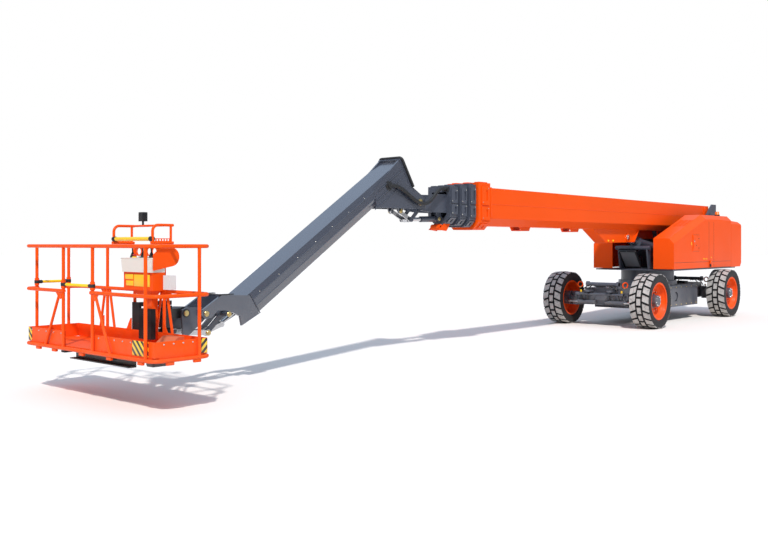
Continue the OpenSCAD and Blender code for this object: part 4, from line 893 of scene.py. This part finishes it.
edge = [(3.422, 0.226, 2.676), (3.704, 0.226, 3.108), (3.704, -0.226, 3.108), (3.422, -0.226, 2.676)]
piece("jib_edge_trim", [sweep(rounded_box(0.052, 0.040, 0.014), rounded_route(edge, 0.05), up=(-0.84, 0.0, 0.54))],
      "jib", "black_paint", black_rubber)
collar = ((CORE, 0.0), (0.074, 0.0), (0.076, 0.006), (0.060, 0.012), (0.046, 0.016), (0.044, 0.040), (CORE, 0.040))
piece("hose_grommet", [lathe(collar, (3.985, 0.213, 2.664), LEFT, 32)], "jib", "black_paint", black_rubber)
clamp = [slab((2.462, 0.090, 2.646), (2.500, 0.215, 2.728), 0.010)]
piece("hose_bulkhead", clamp, "boom_fly", "black_paint")

# %% Pin heads of the jib and levelling links
# Name, body, x, z, half length and radius of each pin.
PINS = (("jib_pin", "jib", 3.225, 2.440, 0.219, 0.052), ("rocker_pin", "jib_rocker", 3.085, 2.370, 0.170, 0.034),
        ("link_pin", "jib", 3.585, 2.290, 0.117, 0.034), ("ram_pin", "jib_barrel", 2.565, 2.190, 0.083, 0.032),
        ("yoke_pin", "jib", 7.410, 0.913, 0.219, 0.036), ("level_pin", "level_rocker", 7.058, 0.886, 0.217, 0.034),
        ("bar_pin", "level_rocker", 7.303, 0.663, 0.117, 0.034), ("bar_end_pin", "yoke", 7.655, 0.690, 0.124, 0.034),
        ("tilt_pin", "rotator", 7.665, 0.930, 0.157, 0.036))
for name, body, x, z, half, radius in PINS:
    pin_heads(name, body, x, z, half, radius, zinc_gold)
print("pins:", len(PINS))

# %% Weld beads along the jib
# Lengths along the machine are counted from the middle of the chassis.
CHASSIS_X = -5.535
JIB_TOP = np.array((9.301 + CHASSIS_X, 0.0, 3.026))
slope = math.radians(32.7)
JIB_ALONG, JIB_UP = np.array((math.cos(slope), 0, -math.sin(slope))), np.array((math.sin(slope), 0, math.cos(slope)))


def on_jib(along, down, y):
    """A point of the jib: a distance along its top edge, one below it and one to the side."""
    return JIB_TOP + along * JIB_ALONG - down * JIB_UP + np.array((0.0, y, 0.0))


beads = []
for s in (1, -1):
    for down in (0.093, 0.192):
        beads.append(tube([on_jib(a, down, s * 0.2095) for a in np.linspace(0.66, 3.50, 3)], 0.006, 8))
    for a0, a1, down in ((-0.02, 0.64, 0.130), (0.10, 0.74, 0.235), (0.25, 0.86, 0.330)):
        beads.append(tube([on_jib(a, down, s * 0.2195) for a in np.linspace(a0, a1, 3)], 0.005, 8))
    beads.append(tube([on_jib(3.505, down, s * 0.214) for down in np.linspace(0.02, 0.312, 3)], 0.008, 8))
piece("jib_beads", beads, "jib", "grey_paint")
plug_a = np.linspace(0.95, 3.35, 7)
caps = [bolts([on_jib(a, 0.075, s * 0.205) for a in plug_a], (0, s, 0.12), 0.008, 0.006) for s in (1, -1)]
piece("jib_plugs", caps, "jib", "bright_steel", dull_steel)
BROW_X, BROW_Y, BROW_Z = 6.980, 0.190, 1.136
brow = [slab((BROW_X, s * BROW_Y - 0.030, BROW_Z - 0.006), (BROW_X + 0.230, s * BROW_Y + 0.030, BROW_Z + 0.006), 0.003)
        for s in (1, -1)]
piece("nose_brow", brow, "jib", "black_paint")
print("beads:", len(beads))

# %% [markdown]
# ## Turntable and chassis
# The hoods carry louvres, seams, catches, small yellow plugs and a dark strip of painted shade where each
# side's skirt folds inward; the chassis has lifting rings, valve boxes and tie tubes between the wheels. Everything
# here is a short profile turned or carried along a path.

# %% Hood louvres, seams and a painted fold shade
HOOD_Y, HOOD_TOP, HOOD_FOOT = 0.980, 2.470, 1.212
slope_low, slope_high = np.array((-4.755, 1.900)), np.array((-6.535, 2.470))
down = unit(slope_low - slope_high)
louvres = []
for row in range(3):
    for k in range(7):
        x, z = slope_high + down * (0.46 + 0.075 * k)
        y0 = 0.565 + 0.105 * row
        route = [(x, y, z) for y in (y0, y0 + 0.043, y0 + 0.086)]
        louvres.append(sweep(rounded_box(0.030, 0.016, 0.007), route, up=(-down[1], 0.0, down[0])))
for side, body in ((1, "hood_l"), (-1, "hood_r")):
    turned_shells = [(points * (1, side, 1), [f[::side] for f in faces]) for points, faces in louvres]
    piece(body + "_louvres", turned_shells, body, "orange_paint")
    face = side * HOOD_Y
    seam_and_fold_shade_strips = [slab((x - 0.003, face - 0.004, HOOD_FOOT + 0.004), (x + 0.003, face + 0.002, HOOD_TOP - 0.160), 0.001)
             for x in (-6.785, -7.090)]
    # A dark strip along the hood side: painted shade where the lower skirt folds inward, not a seam.
    seam_and_fold_shade_strips += [slab((-8.20, face - 0.004, 1.352), (-4.77, face + 0.002, 1.358), 0.001)]
    piece(body + "_seams_and_fold_shade", seam_and_fold_shade_strips, body, "black_paint")
    catch = [slab((-6.885, face, 1.300), (-6.805, face + side * 0.035, 1.385), 0.012)]
    piece(body + "_catch", catch, body, "orange_paint")
    strap = [slab((-6.865, face, 1.225), (-6.825, face + side * 0.030, 1.296), 0.008)]
    piece(body + "_catch_strap", strap, body, "black_paint", black_rubber)
    dots = [(-5.735, 1.800), (-5.735, 1.765), (-6.45, 1.425), (-6.52, 1.420), (-6.64, 1.420), (-6.92, 1.450)]
    dots = dots if side > 0 else dots[2:]
    studs = [stud(0.016, 0.005, 0.010, 0.009, (x, face, z), (0, side, 0), foot=-0.002) for x, z in dots]
    piece(body + "_studs", studs, body, "yellow_paint")
print("louvres:", len(louvres), "a hood")

# %% Hatch lock and beacon
door_x = np.array(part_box("control_door"))[0][0]
lock = [stud(0.026, 0.006, 0.018, 0.010, (door_x + 0.335, HOOD_Y, 1.845), LEFT, 28)]
piece("hatch_lock", lock, "door", "bright_steel")
knob = ((CORE, 0.0), (0.011, 0.0), (0.011, 0.006), (CORE, 0.008))
knobs = [lathe(knob, (door_x + x, HOOD_Y, z), LEFT, 16) for x, z in ((0.07, 1.90), (0.07, 1.68), (0.22, 1.74))]
piece("hatch_knobs", knobs, "door", "black_paint", black_rubber)
lamp_low, lamp_high = np.array(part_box("beacon"))
lamp_at = ((lamp_low[0] + lamp_high[0]) / 2, (lamp_low[1] + lamp_high[1]) / 2, lamp_low[2])
ridges = [(CORE, 0.040), (0.049, 0.040)]
ridges += [(0.0515 if k % 2 else 0.0485, 0.042 + 0.007 * k) for k in range(9)]
ridges += [(0.044, 0.108), (0.030, 0.113), (CORE, 0.114)]
amber = enamel("amber_lens", (0.95, 0.26, 0.012), gloss=0.14, coat=0.6, scuffs=0.05, dirt=0.0)
paint("beacon", amber)
piece("beacon_lens", [lathe(ridges, lamp_at, UP, 40)], "hood_l", "amber_lens", amber)
lamp_foot = ((CORE, 0.0), (0.064, 0.0), (0.066, 0.006), (0.062, 0.034), (0.052, 0.041), (CORE, 0.041))
piece("beacon_foot", [lathe(lamp_foot, lamp_at, UP, 40)], "hood_l", "black_paint", black_rubber)
print("beacon at", [round(float(c), 3) for c in lamp_at])

# %% Screen of the front panel
tilt = math.radians(41)
screen_up, screen_out = np.array((math.sin(tilt), 0, math.cos(tilt))), np.array((math.cos(tilt), 0, -math.sin(tilt)))
screen_at = np.array((0.830 + CHASSIS_X, -0.3297, 1.620)) + screen_up * -0.520 + screen_out * 0.0065
mesh_grey = enamel("mesh_grey", (0.17, 0.175, 0.185), gloss=0.3, coat=0.3)
outline = ((0.036, 0.036), (0.394, 0.036), (0.394, 0.484), (0.036, 0.484))
piece("panel_screen", [plate(outline, screen_at, LEFT, screen_up, 0.003)], "turntable", "black_paint", mesh_grey)
spots = [screen_at + (0, y, 0) + screen_up * u + screen_out * 0.0115
         for y in (0.015, 0.215, 0.415) for u in (0.015, 0.505)]
piece("panel_bolts", [bolts(spots, screen_out, 0.009, 0.006)], "turntable", "bright_steel")

# %% Lifting rings and valve boxes
RING_R, RING_WIRE, DECK_Z = 0.058, 0.014, 0.818
section = ring(RING_WIRE, 16) + (RING_R, 0.0)
ring_spots = [(x, y) for x in (-3.300, -7.770) for y in (0.530, -0.530)]
rings = [ring_lathe(section, (x, y, DECK_Z + RING_R + 0.012), (0.55, 0.83, 0.0), 40) for x, y in ring_spots]
feet = [stud(0.034, 0.016, 0.022, 0.022, (x, y, DECK_Z + 0.001), UP, 24) for x, y in ring_spots]
piece("lifting_rings", rings, "chassis", "orange_paint")
piece("ring_feet", feet, "chassis", "bright_steel", zinc_gold)
boxes = [slab((-3.66, -0.26, DECK_Z), (-3.50, -0.10, 0.900), 0.008),
         slab((-3.64, 0.06, DECK_Z), (-3.48, 0.16, 0.890), 0.008),
         slab((-7.10, 0.10, DECK_Z), (-6.86, 0.34, 0.870), 0.008)]
piece("valve_boxes", boxes, "chassis", "black_paint")
print("lifting rings:", len(rings))

# %% Tubes, ribs and pipes at the axle housings
HOUSE_FACE, AXLE_REACH = 0.184, 2.0775
PIPE_BEND = ((-0.02, 0.4, 0.86), (0.060, 0.6, 0.88), (0.085, 0.9, 0.80), (0.070, 1.0, 0.66), (0.030, 1.02, 0.56),
             (0.0, 1.02, 0.53))
cross_tubes, ribs, pipes = [], [], []
for out in (1, -1):
    face = CHASSIS_X + out * AXLE_REACH + out * HOUSE_FACE
    for dx, z, y0, y1, radius in ((0.030, 0.905, -0.34, 0.42, 0.040), (0.110, 0.690, -0.56, 0.56, 0.024)):
        cross_tubes.append(tube([(face + out * dx, y, z) for y in np.linspace(y0, y1, 3)], radius, 20))
        cross_tubes += [stud(radius * 1.5, 0.05, radius, 0.07, (face + out * dx, y, z), (0, d, 0), 24)
                        for y, d in ((y0, 1), (y1, -1))]
    ribs += [slab((face, y - 0.010, 0.462), (face + out * 0.026, y + 0.010, 0.692), 0.004)
             for y in (-0.52, -0.18, 0.18, 0.52)]
    ribs += [slab((face, -0.60, z), (face + out * 0.020, 0.60, z + 0.014), 0.004) for z in (0.458, 0.684)]
    for y in (-0.42, -0.30, 0.30, 0.42):
        bend = [(face + out * dx, y * share, z) for dx, share, z in PIPE_BEND]
        pipes.append(tube(smooth_path(bend, 40), 0.011, 12, up=(0.0, 1.0, 0.1)))
piece("cross_tubes", cross_tubes, "chassis", "grey_paint")
piece("housing_ribs", ribs, "chassis", "grey_paint")
piece("brake_pipes", pipes, "chassis", "black_paint")
print("brake pipes:", len(pipes))

# %% Plugs, covers and bolts of the chassis
ring_plugs = [stud(0.020, 0.045, 0.012, 0.052, (x, y, 0.722), UP) for x in (-3.235, -7.835) for y in (0.48, -0.48)]
piece("ring_plugs", ring_plugs, "chassis", "yellow_paint")
cover = ((CORE, 0.0), (0.092, 0.0), (0.094, 0.006), (0.086, 0.012), (CORE, 0.012))
covers = [lathe(cover, (CHASSIS_X, s * 0.669, 0.560), (0, s, 0)) for s in (1, -1)]
piece("side_covers", covers, "chassis", "grey_paint")
girder_x = np.linspace(-6.70, -4.37, 9)
side_bolts = [bolts([(x, s * 0.700, z) for x in girder_x for z in (0.375, 0.775)], (0, s, 0), 0.013, 0.010)
              for s in (1, -1)]
piece("chassis_bolts", side_bolts, "chassis", "bright_steel", zinc_gold)
print("chassis dressed")
